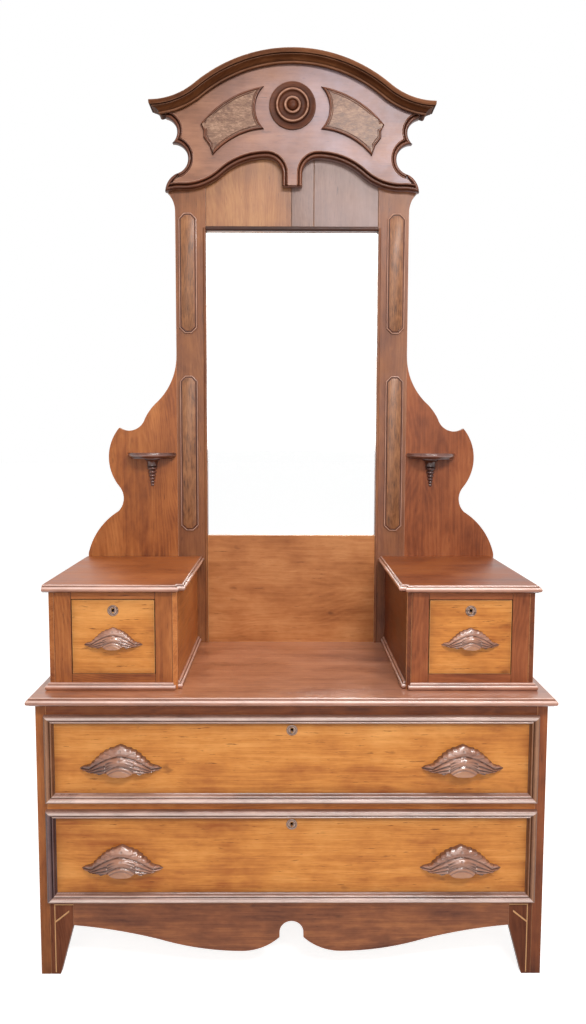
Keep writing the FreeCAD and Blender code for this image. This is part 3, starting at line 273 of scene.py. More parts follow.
def metal(name, tint, tarnish, rough, scale=160):
    """Worn metal with tarnish in cloudy patches and in its hollows."""
    f = Finish(name)
    place = f.place()
    patch = f.noise(place, scale=scale, detail=4, roughness=0.65)
    speck = f.noise(place, scale=scale * 6)
    amount = f.math("MAXIMUM", f.band(patch, 0.42, 0.68), f.times(f.attribute("dust_and_shade"), 0.9))
    return f.surface({"Base Color": f.mix(amount, tint, tarnish), "Roughness": f.times(amount, 0.25, rough),
                      "Normal": f.bump(speck, 0.25, 0.0003), "Metallic": 1})


def silvered(name):
    """Old mirror glass: silver with faint clouding and small foxed spots."""
    f = Finish(name)
    place = f.place()
    cloud = f.noise(place, scale=3, detail=4)
    fox = f.noise(place, scale=70, detail=4, roughness=0.75)
    colour = f.mix(f.band(cloud, to_high=0.5), (1, 1, 1, 1), (0.97, 0.98, 0.98, 1))
    colour = f.mix(f.band(fox, 0.74, 0.8, 0, 0.6), colour, (0.35, 0.32, 0.28, 1))
    return f.surface({"Base Color": colour, "Roughness": f.band(fox, 0.6, 0.8, 0.015, 0.2), "Metallic": 1})


CHERRY_TONES = (110, 52, 20), (154, 88, 42), (180, 112, 60)
# DEEP_TONES make a darker copy of the cherry: painted shade on the right-hand parts and on the top rail under
# the top's overhang.
DEEP_TONES = (94, 42, 18), (136, 72, 38), (160, 94, 54)
CHERRY = wood("cherry", *CHERRY_TONES, (196, 134, 86), coat=0.06, knots=0.4)
CHERRY_DEEP = wood("cherry_deep", *DEEP_TONES, (184, 122, 80), coat=0.06,
    knots=0.4)
FRAME_WOOD = wood("frame_cherry", *CHERRY_TONES, (74, 36, 18), coat=0.06,
    marks=0.7)
FRAME_DEEP = wood("frame_deep", *DEEP_TONES, (66, 32, 18), coat=0.06, marks=0.7)
# SIDE_DEEP paints shade on the right box's sides; RAIL_WOOD is a lighter, more golden copy that paints light on
# the left box's inner side and on the rails below the top rail.
SIDE_DEEP = wood("side_deep", (76, 32, 13), (108, 54, 27), (132, 74, 41), (150, 96, 62))
RAIL_WOOD = wood("rail_cherry", (132, 66, 26), (180, 108, 56), (204, 136, 78), (212, 150, 100))
# The main top, crest, stiles and frieze get painted sheen in their colour, stronger to the right.
CHERRY_TOP = wood("cherry_top", (120, 66, 38), (162, 102, 68), (186, 126, 90), (206, 152, 124), rough=0.34,
    coat=0.5, painted_sheen=0.12, streak=0.8, rub_and_glint=0.1)
BOX_TOP_WOOD = wood("box_top_cherry", (112, 54, 24), (148, 80, 38), (170, 100, 50), (190, 134, 100), rough=0.36,
    gleam=0.17, streak=0.8, rub_and_glint=0.06, marks=0.4)
# BOX_TOP_DEEP is a darker copy: painted shade on the right box's top.
BOX_TOP_DEEP = wood("box_top_deep", (96, 44, 20), (132, 68, 32), (154, 88, 44), (180, 124, 92), rough=0.36,
    gleam=0.17, streak=0.8, rub_and_glint=0.06, marks=0.4)
# Pale edge colours, here and in CHERRY_TOP, CORNICE_WOOD, TABLET_EDGE, SHELF_WOOD and BOSS_WOOD, paint
# highlights on crowns and bevels, with abrasion.
EDGE_WOOD = wood("edge_walnut", (108, 62, 44), (160, 104, 79), (190, 134, 110), (240, 210, 198), figure=0.2,
    rough=0.3, coat=1, dust_and_shade_depth=0.95, rub_and_glint=0.06, edge_spread=(0.55, 0.8), bump=0.15)
APRON_WOOD = wood("dark_cherry", (79, 38, 22), (125, 72, 44), (163, 102, 62), (160, 106, 74), figure=0.2,
    coat=0.1, knots=0.6, contrast=1.3)
FOOT_WOOD = wood("foot_cherry", (68, 32, 19), (97, 51, 31), (118, 67, 44), (132, 90, 66), gleam=0.12)
CREST_WOOD = wood("crest_cherry", (96, 54, 32), (127, 81, 55), (153, 105, 77), (192, 152, 132), figure=0.15,
    painted_sheen=0.5, streak=0.6, rough=0.44, bump=0.1, coat=0.18, polish=0.34, gleam=0.3, marks=0.7,
    sheen_tint=(174, 166, 182))
STILE_WOOD = wood("stile_cherry", (94, 50, 27), (124, 74, 43), (146, 94, 56), (196, 144, 116), figure=0.3,
    painted_sheen=0.06, streak=0.9, coat=0.06, marks=0.8)
GOLDEN = wood("golden_ash", (156, 84, 30), (202, 130, 60), (226, 158, 86), (222, 170, 108), figure=0.2,
    streak=1.2, marks=1, coat=0.08, knots=0.5)
SPLASH_WOOD = wood("splash_ash", (136, 78, 38), (170, 108, 62), (192, 132, 82), (206, 154, 108), figure=0.35,
    streak=0.8, knots=0.5, marks=0.7)
FRIEZE_GOLD = wood("frieze_ash", (118, 68, 34), (148, 96, 56), (170, 120, 76), (90, 56, 38), figure=0.35,
    streak=0.9, painted_sheen=0.1, coat=0.08, gleam=0.3, marks=0.8)
# Greyer frieze wood for the right-hand boards: the grey paints the lamp's sheen.
FRIEZE_GREY = wood("frieze_cherry", (92, 64, 52), (116, 86, 73), (138, 109, 96), (84, 58, 46), figure=0.3,
    streak=0.9, painted_sheen=0.25, rough=0.4, coat=0.15, polish=0.34, gleam=0.3, marks=0.8)
# WALNUT, for the level moulding strips, has a near-white edge colour and glint streaks, painted highlight;
# WALNUT_UPRIGHT is a darker copy, painted shade on the upright strips.
WALNUT = wood("walnut", (98, 65, 54), (152, 113, 98), (190, 152, 136), (238, 214, 204), figure=0.2, rough=0.32,
    coat=1, dust_and_shade_depth=1, marks=0.8, rub_and_glint=0.12, edge_spread=(0.5, 0.8), bump=0.15)
WALNUT_UPRIGHT = wood("walnut_upright", (72, 40, 24), (114, 70, 44), (144, 98, 68), (172, 126, 94), figure=0.3,
    coat=0.3, dust_and_shade_depth=0.85, marks=0.7, rub_and_glint=0.08, edge_spread=(0.4, 0.7))
WALNUT_DARK = wood("walnut_dark", (44, 26, 28), (72, 46, 46), (96, 66, 64), (132, 100, 96), figure=0.3,
    rough=0.36, coat=0.4, dust_and_shade_depth=0.9, marks=0.6, edge_spread=(0.3, 0.6))
SHELF_WOOD = wood("turned_walnut", (58, 28, 22), (86, 46, 36), (116, 72, 58), (196, 152, 136), figure=0.3,
    rough=0.3, coat=1, dust_and_shade_depth=0.9, polish=0.12)
MOULDING_WOOD = wood("crest_walnut", (54, 23, 10), (84, 41, 22), (114, 64, 38), (156, 104, 78), figure=0.3,
    rough=0.36, coat=0.15, dust_and_shade_depth=1, rub_and_glint=0.04, gleam=0.18, edge_spread=(0.35, 0.65), bump=0.12)
CORNICE_WOOD = wood("cornice_walnut", (66, 33, 16), (98, 57, 32), (130, 82, 52), (190, 148, 124), figure=0.3,
    rough=0.45, dust_and_shade_depth=1, bump=0.03, gleam=0.05, edge_spread=(0.4, 0.75))
TABLET_EDGE = wood("tablet_edge", (92, 46, 28), (126, 74, 50), (154, 102, 76), (222, 184, 164), figure=0.3,
    rough=0.34, coat=0.3, dust_and_shade_depth=0.95, rub_and_glint=0.1, edge_spread=(0.5, 0.8))
PULL_WOOD = wood("carved_walnut", (108, 64, 46), (150, 99, 74), (182, 132, 108), (164, 110, 70), figure=0.3,
    rough=0.3, coat=0.9, dust_and_shade_depth=1, bump=0.4, marks=0.4, polish=0.15, gleam=0.42)
PINE = wood("pine", (160, 116, 68), (192, 150, 100), (210, 174, 124), (214, 184, 140), figure=1.2, rough=0.6,
    knots=0.6)
BOXWOOD = wood("boxwood", (180, 130, 82), (204, 154, 104), (220, 174, 126), figure=0.2, rough=0.4)
TABLET_FIELD = burl("tablet_burl", (74, 46, 32), (129, 83, 52), (154, 106, 70), stretch=(7, 110), coat=0.08)
PANEL_FIELD = burl("panel_burl", (92, 58, 40), (148, 106, 80), (206, 164, 134), coat=0.08)
BOSS_WOOD = wood("boss_cherry", (52, 22, 9), (75, 36, 17), (98, 52, 28), (196, 150, 126), figure=0.2, rough=0.4,
    dust_and_shade_depth=0.8, bump=0.15, gleam=0.12, edge_spread=(0.4, 0.75))
LOCK_DARK = wood("lock_shadow", (20, 13, 10), (26, 17, 13), (32, 22, 17), rough=0.8, gleam=0, marks=0)
BRASS = metal("old_brass", (0.37, 0.26, 0.21, 1), (0.08, 0.045, 0.035, 1), 0.36)
IRON = metal("lock_steel", (0.46, 0.44, 0.42, 1), (0.14, 0.1, 0.08, 1), 0.42, scale=60)
MIRROR = silvered("mirror_silver")


# ---------- meshes
def board_shift():
    """A place in the wood of its own for each board."""
    return Vector((chance.uniform(-20, 20), chance.uniform(-0.12, 0.12), chance.uniform(0.02, 0.1)))


def publish(mesh, node, ending, *materials, name=None, weighted=False, angle=40):
    """Makes a piece of the mesh, in the place of a CAD node. Its name is the node's and an ending."""
    for polygon in mesh.polygons:
        polygon.use_smooth = True
    mesh.set_sharp_from_angle(angle=math.radians(angle))
    piece = shown(name or f"{node}_{ending}", mesh)
    for material in materials:
        mesh.materials.append(material)
    if weighted:
        piece.modifiers.new("even", "WEIGHTED_NORMAL").keep_sharp = True
    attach(piece, BODY[node])
    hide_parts(node)


class Shape:
    """Points and faces of a piece. A point is (place, grain, shading), with grain in millimetres
    and shading from 1, dusty and painted shade, to -1, abraded bare and painted highlight."""

    def __init__(self):
        self.points, self.faces = [], []

    def loft(self, rings, closed_ring=True, closed_path=False, slot=0, end_slot=None):
        """Skins rings of points. The ends of an open path get faces."""
        first, size, count = len(self.points), len(rings[0]), len(rings)
        shift = board_shift()
        for ring in rings:
            self.points += [(place, Vector(grain) / 1000 + shift, shading_dust_and_bareness) for place, grain, shading_dust_and_bareness in ring]
        for i in range(count if closed_path else count - 1):
            here, there = first + i * size, first + (i + 1) % count * size
            for k in range(size if closed_ring else size - 1):
                after = (k + 1) % size
                self.faces.append(((here + k, there + k, there + after, here + after), slot))
        if not closed_path:
            last = first + (count - 1) * size
            self.faces.append((tuple(range(first, first + size)), slot))
            self.faces.append((tuple(range(last, last + size)), slot if end_slot is None else end_slot))

    def mirror(self):
        """Adds the left-hand twin of everything made so far, cut from other wood."""
        first = len(self.points)
        shift = Vector((3.1, 0.021, 0.013))
        self.points += [(Vector((-p.x, p.y, p.z)), grain + shift, shading_dust_and_bareness) for p, grain, shading_dust_and_bareness in self.points]
        self.faces += [(tuple(first + i for i in reversed(face)), slot) for face, slot in self.faces]

    def mesh(self):
        bm = bmesh.new()
        grain = bm.verts.layers.float_vector.new("grain")
        dust_and_shade = bm.verts.layers.float.new("dust_and_shade")
        edge = bm.verts.layers.float.new("edge")
        for place, along, shading_dust_and_bareness in self.points:
            vert = bm.verts.new(place)
            vert[grain] = along
            vert[dust_and_shade] = max(shading_dust_and_bareness, 0.0)
            vert[edge] = max(-shading_dust_and_bareness, 0.0)
        bm.verts.ensure_lookup_table()
        for face, slot in self.faces:
            bm.faces.new([bm.verts[i] for i in face]).material_index = slot
        bmesh.ops.remove_doubles(bm, verts=bm.verts, dist=2e-6)
        bmesh.ops.dissolve_degenerate(bm, dist=2e-6, edges=bm.edges)
        bmesh.ops.recalc_face_normals(bm, faces=bm.faces)
        return finished(bm)


def finished(bm):
    mesh = bpy.data.meshes.new("piece")
    bm.to_mesh(mesh)
    bm.free()
    return mesh


def solids(mesh):
    """The mesh's closed solids, each as faces of points: their faces follow one another."""
    found, faces, loose = [], [], set()
    for polygon in mesh.polygons:
        corners = [tuple(round(c, 6) for c in mesh.vertices[i].co) for i in polygon.vertices]
        faces.append(corners)
        for pair in zip(corners, corners[1:] + corners[:1]):
            loose ^= {frozenset(pair)}
        if not loose:
            found.append(faces)
            faces = []
    assert not faces, "open solid"
    return found


def slice_faces(bm, place, normal):
    """Adds points where the faces cross a plane."""
    bmesh.ops.bisect_plane(bm, geom=bm.verts[:] + bm.edges[:] + bm.faces[:], plane_co=place, plane_no=normal,
                           dist=1e-6)


RIM_STEPS = (0.0, 0.006, 0.014, 0.028, 0.05)
RIM_DARKNESS, RIM_FADE = 0.5, 0.011


def darken_near_edges(bm, dust_and_shade, low, high, inset):
    """Darkens the front of a board near its edges, from an inset inwards."""
    for axis in (0, 2):
        normal = Vector([float(i == axis) for i in range(3)])
        for depth in RIM_STEPS:
            for base, sign in ((low[axis], 1), (high[axis], -1)):
                slice_faces(bm, normal * (base + sign * (inset + depth)), normal)
    for vert in bm.verts:
        gap = min(min(vert.co[i] - low[i], high[i] - vert.co[i]) for i in (0, 2)) - inset
        front = vert.co.y < low.y + 0.002
        vert[dust_and_shade] = RIM_DARKNESS * math.exp(-max(gap, 0.0) / RIM_FADE) if front else 0.0


SHARP = math.radians(25)


def dress(node, *materials, axis=None, width=0.0009, pick=None, rim=None, shading_dust_and_bareness=()):
    """The node's own boards with rounded edges in the edge colour and grain along each board. pick chooses a
    board's material from its middle; rim is the inset of the darkening near the front's edges; the darkening
    from the bottom up is given as (height, amount)."""
    bm = bmesh.new()
    edge = bm.faces.layers.float.new("edge")
    grain = bm.verts.layers.float_vector.new("grain")
    dust_and_shade = bm.verts.layers.float.new("dust_and_shade")
    for faces in solids(frame["nodes"][node].data):
        spots = {}
        for corner in (corner for corners in faces for corner in corners):
            if corner not in spots:
                spots[corner] = bm.verts.new(corner)
        made = [bm.faces.new([spots[c] for c in corners]) for corners in faces if len(set(corners)) > 2]
        ends = [(min(c[i] for c in spots), max(c[i] for c in spots)) for i in range(3)]
        spans = [b - a for a, b in ends]
        middle = [(b + a) / 2 for a, b in ends]
        for face in made:
            face.material_index = int(pick(Vector(middle))) if pick else 0
        along = spans.index(max(spans)) if axis is None else axis
        wide, thin = sorted((i for i in range(3) if i != along), key=lambda i: -spans[i])
        shift = board_shift()
        for vert in spots.values():
            own = (vert.co[along], vert.co[wide] - middle[wide], vert.co[thin] - middle[thin])
            vert[grain] = Vector(own) + shift
    bmesh.ops.dissolve_limit(bm, angle_limit=0.0005, verts=bm.verts, edges=bm.edges, delimit={"NORMAL"})
    sharp = [e for e in bm.edges if e.is_manifold and e.calc_face_angle(0) > SHARP]
    made = bmesh.ops.bevel(bm, geom=sharp, offset=width, segments=2, profile=0.6, affect="EDGES",
                           clamp_overlap=True)
    # Bevels take each wood's edge colour: dark joints on the frames and frieze, and elsewhere abrasion with
    # painted highlight.
    for face in made["faces"]:
        face[edge] = 1.0
    if rim is not None:
        darken_near_edges(bm, dust_and_shade, *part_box(node), rim)
    for height, _ in shading_dust_and_bareness:
        slice_faces(bm, (0, 0, height), (0, 0, 1))
    if shading_dust_and_bareness:
        for vert in bm.verts:
            vert[dust_and_shade] = float(np.interp(vert.co.z, *zip(*shading_dust_and_bareness)))
    publish(finished(bm), node, "boards", *materials, weighted=True)


def cross(a, b):
    return a.x * b.y - a.y * b.x


def inset(outline, weights, distance):
    """The closed outline with each edge moved to its left by distance times its weight."""
    moved = []
    for i, here in enumerate(outline):
        after = outline[(i + 1) % len(outline)]
        d1, d2 = (here - outline[i - 1]).normalized(), (after - here).normalized()
        a, b = distance * weights[i - 1], distance * weights[i]
        turn = cross(d1, d2)
        if abs(turn) < 1e-4:
            n1, n2 = Vector((-d1.y, d1.x)), Vector((-d2.y, d2.x))
            moved.append(here + (n1 * a + n2 * b) / 2)
        else:
            moved.append(here + (d2 * a - d1 * b) / turn)
    return moved


def stack(shape, outline, levels, place, weights=None, along=0, slot=0):
    """A solid of outline copies: levels are (inset, height, shading). place turns (a, b, height)
    into a point. along is which of a and b the grain follows. The top has slot 1."""
    outline = [Vector(p) for p in outline]
    weights = weights or [1] * len(outline)
    shape.loft([[(place(p.x, p.y, height), (p[along], p[1 - along], height), shading_dust_and_bareness)
                 for p in inset(outline, weights, distance)] for distance, height, shading_dust_and_bareness in levels],
               slot=slot, end_slot=1)


def mitres(path, closed=False):
    """The step to the left at each point of a path that keeps a moulding's sides parallel."""
    steps, count = [], len(path)
    for i, here in enumerate(path):
        near = ([here - path[i - 1]] if i or closed else []) + (
            [path[(i + 1) % count] - here] if i < count - 1 or closed else [])
        n = [Vector((-d.y, d.x)) for d in (d.normalized() for d in near)]
        steps.append(n[0] if len(n) == 1 else (n[0] + n[1]) / (1 + n[0].dot(n[1])))
    return steps


def mitre_line(before, after):
    """The corner and the direction of the mitre between two runs of points that meet."""
    corner = Vector(before[-1])
    arriving = (corner - Vector(before[-2])).normalized()
    leaving = (Vector(after[1]) - corner).normalized()
    return corner, (leaving - arriving).normalized()


def sweep(shape, path, profile, place, cuts=()):
    """A moulding along a path. profile is a closed run of (side, out, shading), side to the left
    of the path; place turns (a, b, out) into a point. cuts are the mitre lines that the
    moulding stops at."""
    path = [Vector(p) for p in path]
    rings, travelled = [], 0.0
    for i, (point, step) in enumerate(zip(path, mitres(path))):
        travelled += (point - path[i - 1]).length if i else 0.0
        reach = math.inf
        for corner, toward in cuts:
            slant = cross(step, toward)
            if abs(slant) > 1e-9:
                share = cross(corner - point, toward) / slant
                if share > -0.01:
                    reach = min(reach, max(share, 0.0))
        ring = []
        for side, out, shading_dust_and_bareness in profile:
            if side > reach:
                out = min(out, height_at(profile, reach)) if out > 0 else out
                side = reach
            spot = point + step * side
            ring.append((place(spot.x, spot.y, out), (travelled, side, out), shading_dust_and_bareness))
        rings.append(ring)
    shape.loft(rings)


def height_at(profile, side):
    """Height of a profile's upper line at a distance from its outer edge."""
    upper = [(s, out) for s, out, _ in profile if out > 0]
    for (s0, h0), (s1, h1) in zip(upper, upper[1:]):
        if s0 <= side <= s1 and s1 > s0:
            return h0 + (h1 - h0) * (side - s0) / (s1 - s0)
    return upper[0][1]


def straight(shape, profile, distances, place, slot=0):
    """A straight moulding. place turns (distance, side, out) into a point."""
    shape.loft([[(place(d, side, out), (d, side, out), shading_dust_and_bareness) for side, out, shading_dust_and_bareness in profile]
                for d in distances], slot=slot)


def straight_strips(shape, corners, profile, place, slots):
    """A mitred frame of separate strips round a rectangle, anticlockwise."""
    corners = [Vector(c) for c in corners]
    steps = mitres(corners, closed=True)
    for i, slot in enumerate(slots):
        j = (i + 1) % len(corners)
        length = (corners[j] - corners[i]).length

        def spot(distance, side, out):
            start, end = corners[i] + steps[i] * side, corners[j] + steps[j] * side
            return place(*start.lerp(end, distance / length), out)

        pieces = max(2, int(length / 60))
        straight(shape, profile, [k / pieces * length for k in range(pieces + 1)], spot, slot)


def lathe(shape, profile, place, start=0, turn=360, steps=72, grain_up=False):
    """Turns (radius, height, shading) about an axis. place turns (a, b, height) into a point."""
    whole = turn == 360
    rings = []
    for i in range(steps if whole else steps + 1):
        angle = math.radians(start + turn * i / steps)
        ring = [(r * math.cos(angle), r * math.sin(angle), h, shading_dust_and_bareness) for r, h, shading_dust_and_bareness in profile]
        rings.append([(place(a, b, h), (h, a, b) if grain_up else (a, b, h), shading_dust_and_bareness) for a, b, h, shading_dust_and_bareness in ring])
    shape.loft(rings, closed_ring=not whole, closed_path=whole)


def arc(start, middle, end, steps):
    """Points of the arc through three points, after the start."""
    (ax, ay), (bx, by), (cx, cy) = start, middle, end
    d = 2 * (ax * (by - cy) + bx * (cy - ay) + cx * (ay - by))
    a, b, c = ax ** 2 + ay ** 2, bx ** 2 + by ** 2, cx ** 2 + cy ** 2
    ux = (a * (by - cy) + b * (cy - ay) + c * (ay - by)) / d
    uy = (a * (cx - bx) + b * (ax - cx) + c * (bx - ax)) / d
    radius = math.dist(start, (ux, uy))
    first, halfway, last = (math.atan2(y - uy, x - ux) for x, y in (start, middle, end))
    turn = (last - first) % math.tau
    if (halfway - first) % math.tau > turn:
        turn -= math.tau
    angles = [first + turn * i / steps for i in range(1, steps + 1)]
    return [(ux + radius * math.cos(angle), uy + radius * math.sin(angle)) for angle in angles]


def tangent_path(start, heading, moves, spacing=3):
    """Points of a smooth path from (length,) straight runs and (radius, turn) arcs."""
    (a, b), angle = start, math.radians(heading)
    points = [(a, b)]
    for size, *bend in moves:
        if not bend:
            points.append((a + size * math.cos(angle), b + size * math.sin(angle)))
        else:
            turn = math.radians(bend[0])
            radius = math.copysign(size, turn)
            centre = (a - radius * math.sin(angle), b + radius * math.cos(angle))
            steps = max(4, int(abs(size * turn) / spacing))
            for t in [angle + turn * i / steps for i in range(1, steps + 1)]:
                points.append((centre[0] + radius * math.sin(t), centre[1] - radius * math.cos(t)))
            angle += turn
        a, b = points[-1]
    return points


def rounded(profile, per=4):
    """Rounds a profile with a Catmull-Rom curve. After a point marked "line" it runs straight."""
    result = []
    for i, point in enumerate(profile[:-1]):
        after = profile[i + 1]
        result.append(point[:3])
        if len(point) > 3:
            continue
        before = profile[i - 1] if i and len(profile[i - 1]) == 3 else point
        beyond = profile[i + 2] if i + 2 < len(profile) and len(after) == 3 else after
        for t in [k / per for k in range(1, per)]:
            result.append(tuple(
                0.5 * (2 * p1 + (p2 - p0) * t + (2 * p0 - 5 * p1 + 4 * p2 - p3) * t * t
                       + (3 * p1 - p0 - 3 * p2 + p3) * t ** 3)
                for p0, p1, p2, p3 in zip(before, point, after[:3], beyond)))
    result.append(profile[-1][:3])
    return result


# ---------- boards
# The case sides grow darker towards the bottom.
SIDE_DARKENING = ((0.0, 0.9), (0.05, 0.7), (0.15, 0.42), (0.32, 0.1), (0.6, 0.0))
LONG_RIM, DECK_RIM = 0.0185, 0.0005

# Right-hand parts and the top rail take the darker copies, painted shade; the left box's inner side and the
# lower rails take the lighter rail wood, painted light.
dress("case_side_right", CHERRY_DEEP, shading_dust_and_bareness=SIDE_DARKENING)
dress("case_side_left", CHERRY, shading_dust_and_bareness=SIDE_DARKENING)
dress("case_front_rails", RAIL_WOOD, CHERRY_DEEP, pick=lambda middle: middle.z > 0.5)
dress("box_sides", CHERRY, RAIL_WOOD, SIDE_DEEP, pick=lambda middle: 2 if middle.x > 0 else middle.x > -0.35)
dress("box_front_frames", FRAME_WOOD, FRAME_DEEP, pick=lambda middle: middle.x > 0)
dress("wing_right", CHERRY_DEEP, axis=2)
dress("wing_left", CHERRY, axis=2)
for node in ("stile_right", "stile_left"):
    dress(node, STILE_WOOD)
dress("splash_board", SPLASH_WOOD)
dress("frieze_boards", FRIEZE_GOLD, FRIEZE_GREY, axis=2, width=0.0016, pick=lambda middle: middle.x > -0.002)
dress("case_back_boards", PINE, axis=2)
for node in ("drawer_runners", "glue_blocks", "deck_runners", "frame_rails", "mirror_back_board"):
    dress(node, PINE)
dress("foot_brackets", FOOT_WOOD)
dress("apron", APRON_WOOD)
dress("foot_inlay", BOXWOOD, width=0.0002)
dress("crest_board", CREST_WOOD)
for drawer in DRAWERS:
    dress(drawer + "_front", GOLDEN, axis=0, rim=LONG_RIM if "long" in drawer else DECK_RIM)
for drawer in DRAWERS:
    dress(drawer + "_box", PINE)


# ---------- moulded tops
# In every profile the third value paints shade, up to 1, into quirks and coves, and below 0 a painted highlight
# with abrasion onto crowns.
def top_edge(low, high):
    """Levels of a moulded top from its underside up: cove, large roll, quirk and small bead."""
    drawn = 19.0
    run = rounded([
        (11, 19, 0.6, "line"), (9.6, 18.9, 0.7), (7.2, 18, 0.8), (5.8, 16.6, 1, "line"), (3.4, 16, 0.3),
        (1, 14, 0.1), (0, 10.4, 0), (0.7, 6.8, -0.9), (2.6, 4.6, -0.1), (4.6, 4, 0.5), (5.4, 4.1, 1, "line"),
        (5.5, 2.2, 0.3), (6.2, 0.8, -0.6), (7.6, 0.1, -0.4), (9, 0, 0)])
    return [(side, high.z - drop * ((high.z - low.z) / drawn), shading_dust_and_bareness) for side, drop, shading_dust_and_bareness in run]


low, high = limits("main_top")
inner, outer = STILE_X
notch = [(outer, high.y), (outer, CASE_DEPTH), (inner, CASE_DEPTH), (inner, high.y)]
outline = [(low.x, low.y), (high.x, low.y), (high.x, high.y), *notch, *[(-x, y) for x, y in notch[::-1]],
           (low.x, high.y)]
shape = Shape()
stack(shape, outline, top_edge(low, high), at, [1, 1] + [0] * 9 + [1])
publish(shape.mesh(), "main_top", "moulded", EDGE_WOOD, CHERRY_TOP)

NOTCH = 13.0
# The right box's top takes the darker copy, painted shade.
for side, sign, weights, top_wood in (("right", 1, [1, 1, 0, 1, 1, 1], BOX_TOP_DEEP),
                                      ("left", -1, [1, 1, 1, 0, 1, 1], BOX_TOP_WOOD)):
    low, high = limits("box_top_" + side)
    x0, x1 = sorted((low.x * sign, high.x * sign))
    outline = [(x0 + NOTCH, low.y), (x1, low.y), (x1, high.y), (x0, high.y), (x0, low.y + NOTCH),
               (x0 + NOTCH, low.y + NOTCH)]
    shape = Shape()
    stack(shape, [(sign * x, y) for x, y in outline[::sign]], top_edge(low, high), at, weights)
    publish(shape.mesh(), "box_top_" + side, "moulded", EDGE_WOOD, top_wood)

BASE_INNER_X = 238.0
low, high = limits("box_base_mouldings")
base = rounded([
    (9, 0, 0.3, "line"), (2.6, 0, 0.9, "line"), (1.2, 0.8, 0.4), (0, 4, 0), (0, 6.8, -0.1), (1.2, 9.6, -0.9),
    (3.4, 10.8, 0.1), (4.2, 10.8, 1, "line"), (4.4, 12, 0.5), (5.2, 14.2, -0.3), (7.4, 15.8, -0.3),
    (8.6, 16, 0.3, "line"), (9, 16, 0.7)])
base = [(side, low.z + out, shading_dust_and_bareness) for side, out, shading_dust_and_bareness in base]
x0, x1, y0, y1 = BASE_INNER_X, high.x, low.y, high.y
shape = Shape()
sweep(shape, [(x0, y1), (x0, y0 + NOTCH), (x0 + NOTCH, y0 + NOTCH), (x0 + NOTCH, y0), (x1, y0), (x1, y1)],
      base, at)
shape.mirror()
publish(shape.mesh(), "box_base_mouldings", "run", EDGE_WOOD)

# ---------- drawer frames
drawer_frame = rounded([
    (0, 0, 0.6, "line"), (0, 8, 0.4), (0.9, 11.4, 0.2), (3.2, 13.6, -0.1), (6.2, 14, -0.9), (9.6, 12.8, -0.1),
    (11.8, 10.2, 0.5), (12.5, 8.4, 1, "line"), (13.2, 9.8, 0.4), (14.6, 10.6, -0.6), (16.2, 9.6, 0),
    (17.3, 7.2, 0.2), (17.8, 4.8, 0.5, "line"), (18.8, 3.4, 0.2), (20, 2, 0.4, "line"), (20, 0, 0.7)])
# Level strips take the walnut with painted highlight, upright strips the darker copy with painted shade; the
# lower drawer's left strip takes the darkest walnut.
for drawer, slots in (("upper_long", (0, 1, 0, 1)), ("lower_long", (0, 1, 0, 2))):
    node = drawer + "_moulding"
    low, high = limits(node)
    shape = Shape()
    straight_strips(shape, [(low.x, low.z), (high.x, low.z), (high.x, high.z), (low.x, high.z)], drawer_frame,
                    facing(0), slots)
    publish(shape.mesh(), node, "strips", WALNUT, WALNUT_UPRIGHT, WALNUT_DARK)

# ---------- sight beads
BEAD_RADIUS, BEAD_STEPS, TOP_BEAD_STRETCH = 3.5, 12, 1.6
low, high = limits("sight_beads")
bead = []
for i in range(BEAD_STEPS + 1):
    angle = math.pi * i / BEAD_STEPS
    shading_dust_and_bareness = 0.7 if i in (0, BEAD_STEPS) else 0
    bead.append((BEAD_RADIUS * (1 - math.cos(angle)), BEAD_RADIUS * math.sin(angle), shading_dust_and_bareness))
# The bead across the mirror's top is dark all over and cut from the dark crest walnut: painted shade over the
# glass.
lower_bead = [(side, out, 0.75) for side, out, _ in [(0, -3, 0), *bead, (2 * BEAD_RADIUS, -3, 0)]]
shape = Shape()
straight(shape, bead, np.linspace(low.z, high.z, 12),
         lambda z, side, out: at(STILE_X[0] + side, CASE_DEPTH - out, z))
shape.mirror()
straight(shape, lower_bead, np.linspace(-STILE_X[0], STILE_X[0], 9),
         lambda x, side, out: at(x, CASE_DEPTH - out, MIRROR_TOP + TOP_BEAD_STRETCH * side), slot=1)
publish(shape.mesh(), "sight_beads", "round", STILE_WOOD, MOULDING_WOOD)

# ---------- tablets on the stiles
TABLET_X, TABLET_CLIP = (242.0, 288.5), 14.0
LOWER_TABLET, UPPER_TABLET = 402.0, 301.0
low, high = limits("stile_tablets")
tablet = [(0, 0, 1), (0, 2.6, 0.2), (0.9, 4.2, -0.4), (2.2, 4.6, -0.6), (3.4, 3.6, 0.4), (4.2, 2.6, 1),
          (5.4, 2.6, 1), (5.7, 4.6, 0.6), (6.3, 5.7, 0), (7, 6, 0)]
x0, x1 = TABLET_X
shape = Shape()
for z0, z1 in ((low.z, low.z + LOWER_TABLET), (high.z - UPPER_TABLET, high.z)):
    outline = [(x0 + TABLET_CLIP, z0), (x1 - TABLET_CLIP, z0), (x1, z0 + TABLET_CLIP), (x1, z1 - TABLET_CLIP),
               (x1 - TABLET_CLIP, z1), (x0 + TABLET_CLIP, z1), (x0, z1 - TABLET_CLIP), (x0, z0 + TABLET_CLIP)]
    stack(shape, outline, tablet, facing(CASE_DEPTH), along=1)
shape.mirror()
publish(shape.mesh(), "stile_tablets", "moulded", TABLET_EDGE, TABLET_FIELD)

# ---------- candle shelves
SHELF_RADIUS, SHELF_HEIGHT = 63.0, 15.0
low, high = limits("candle_shelves")
shelf_x = high.x - SHELF_RADIUS


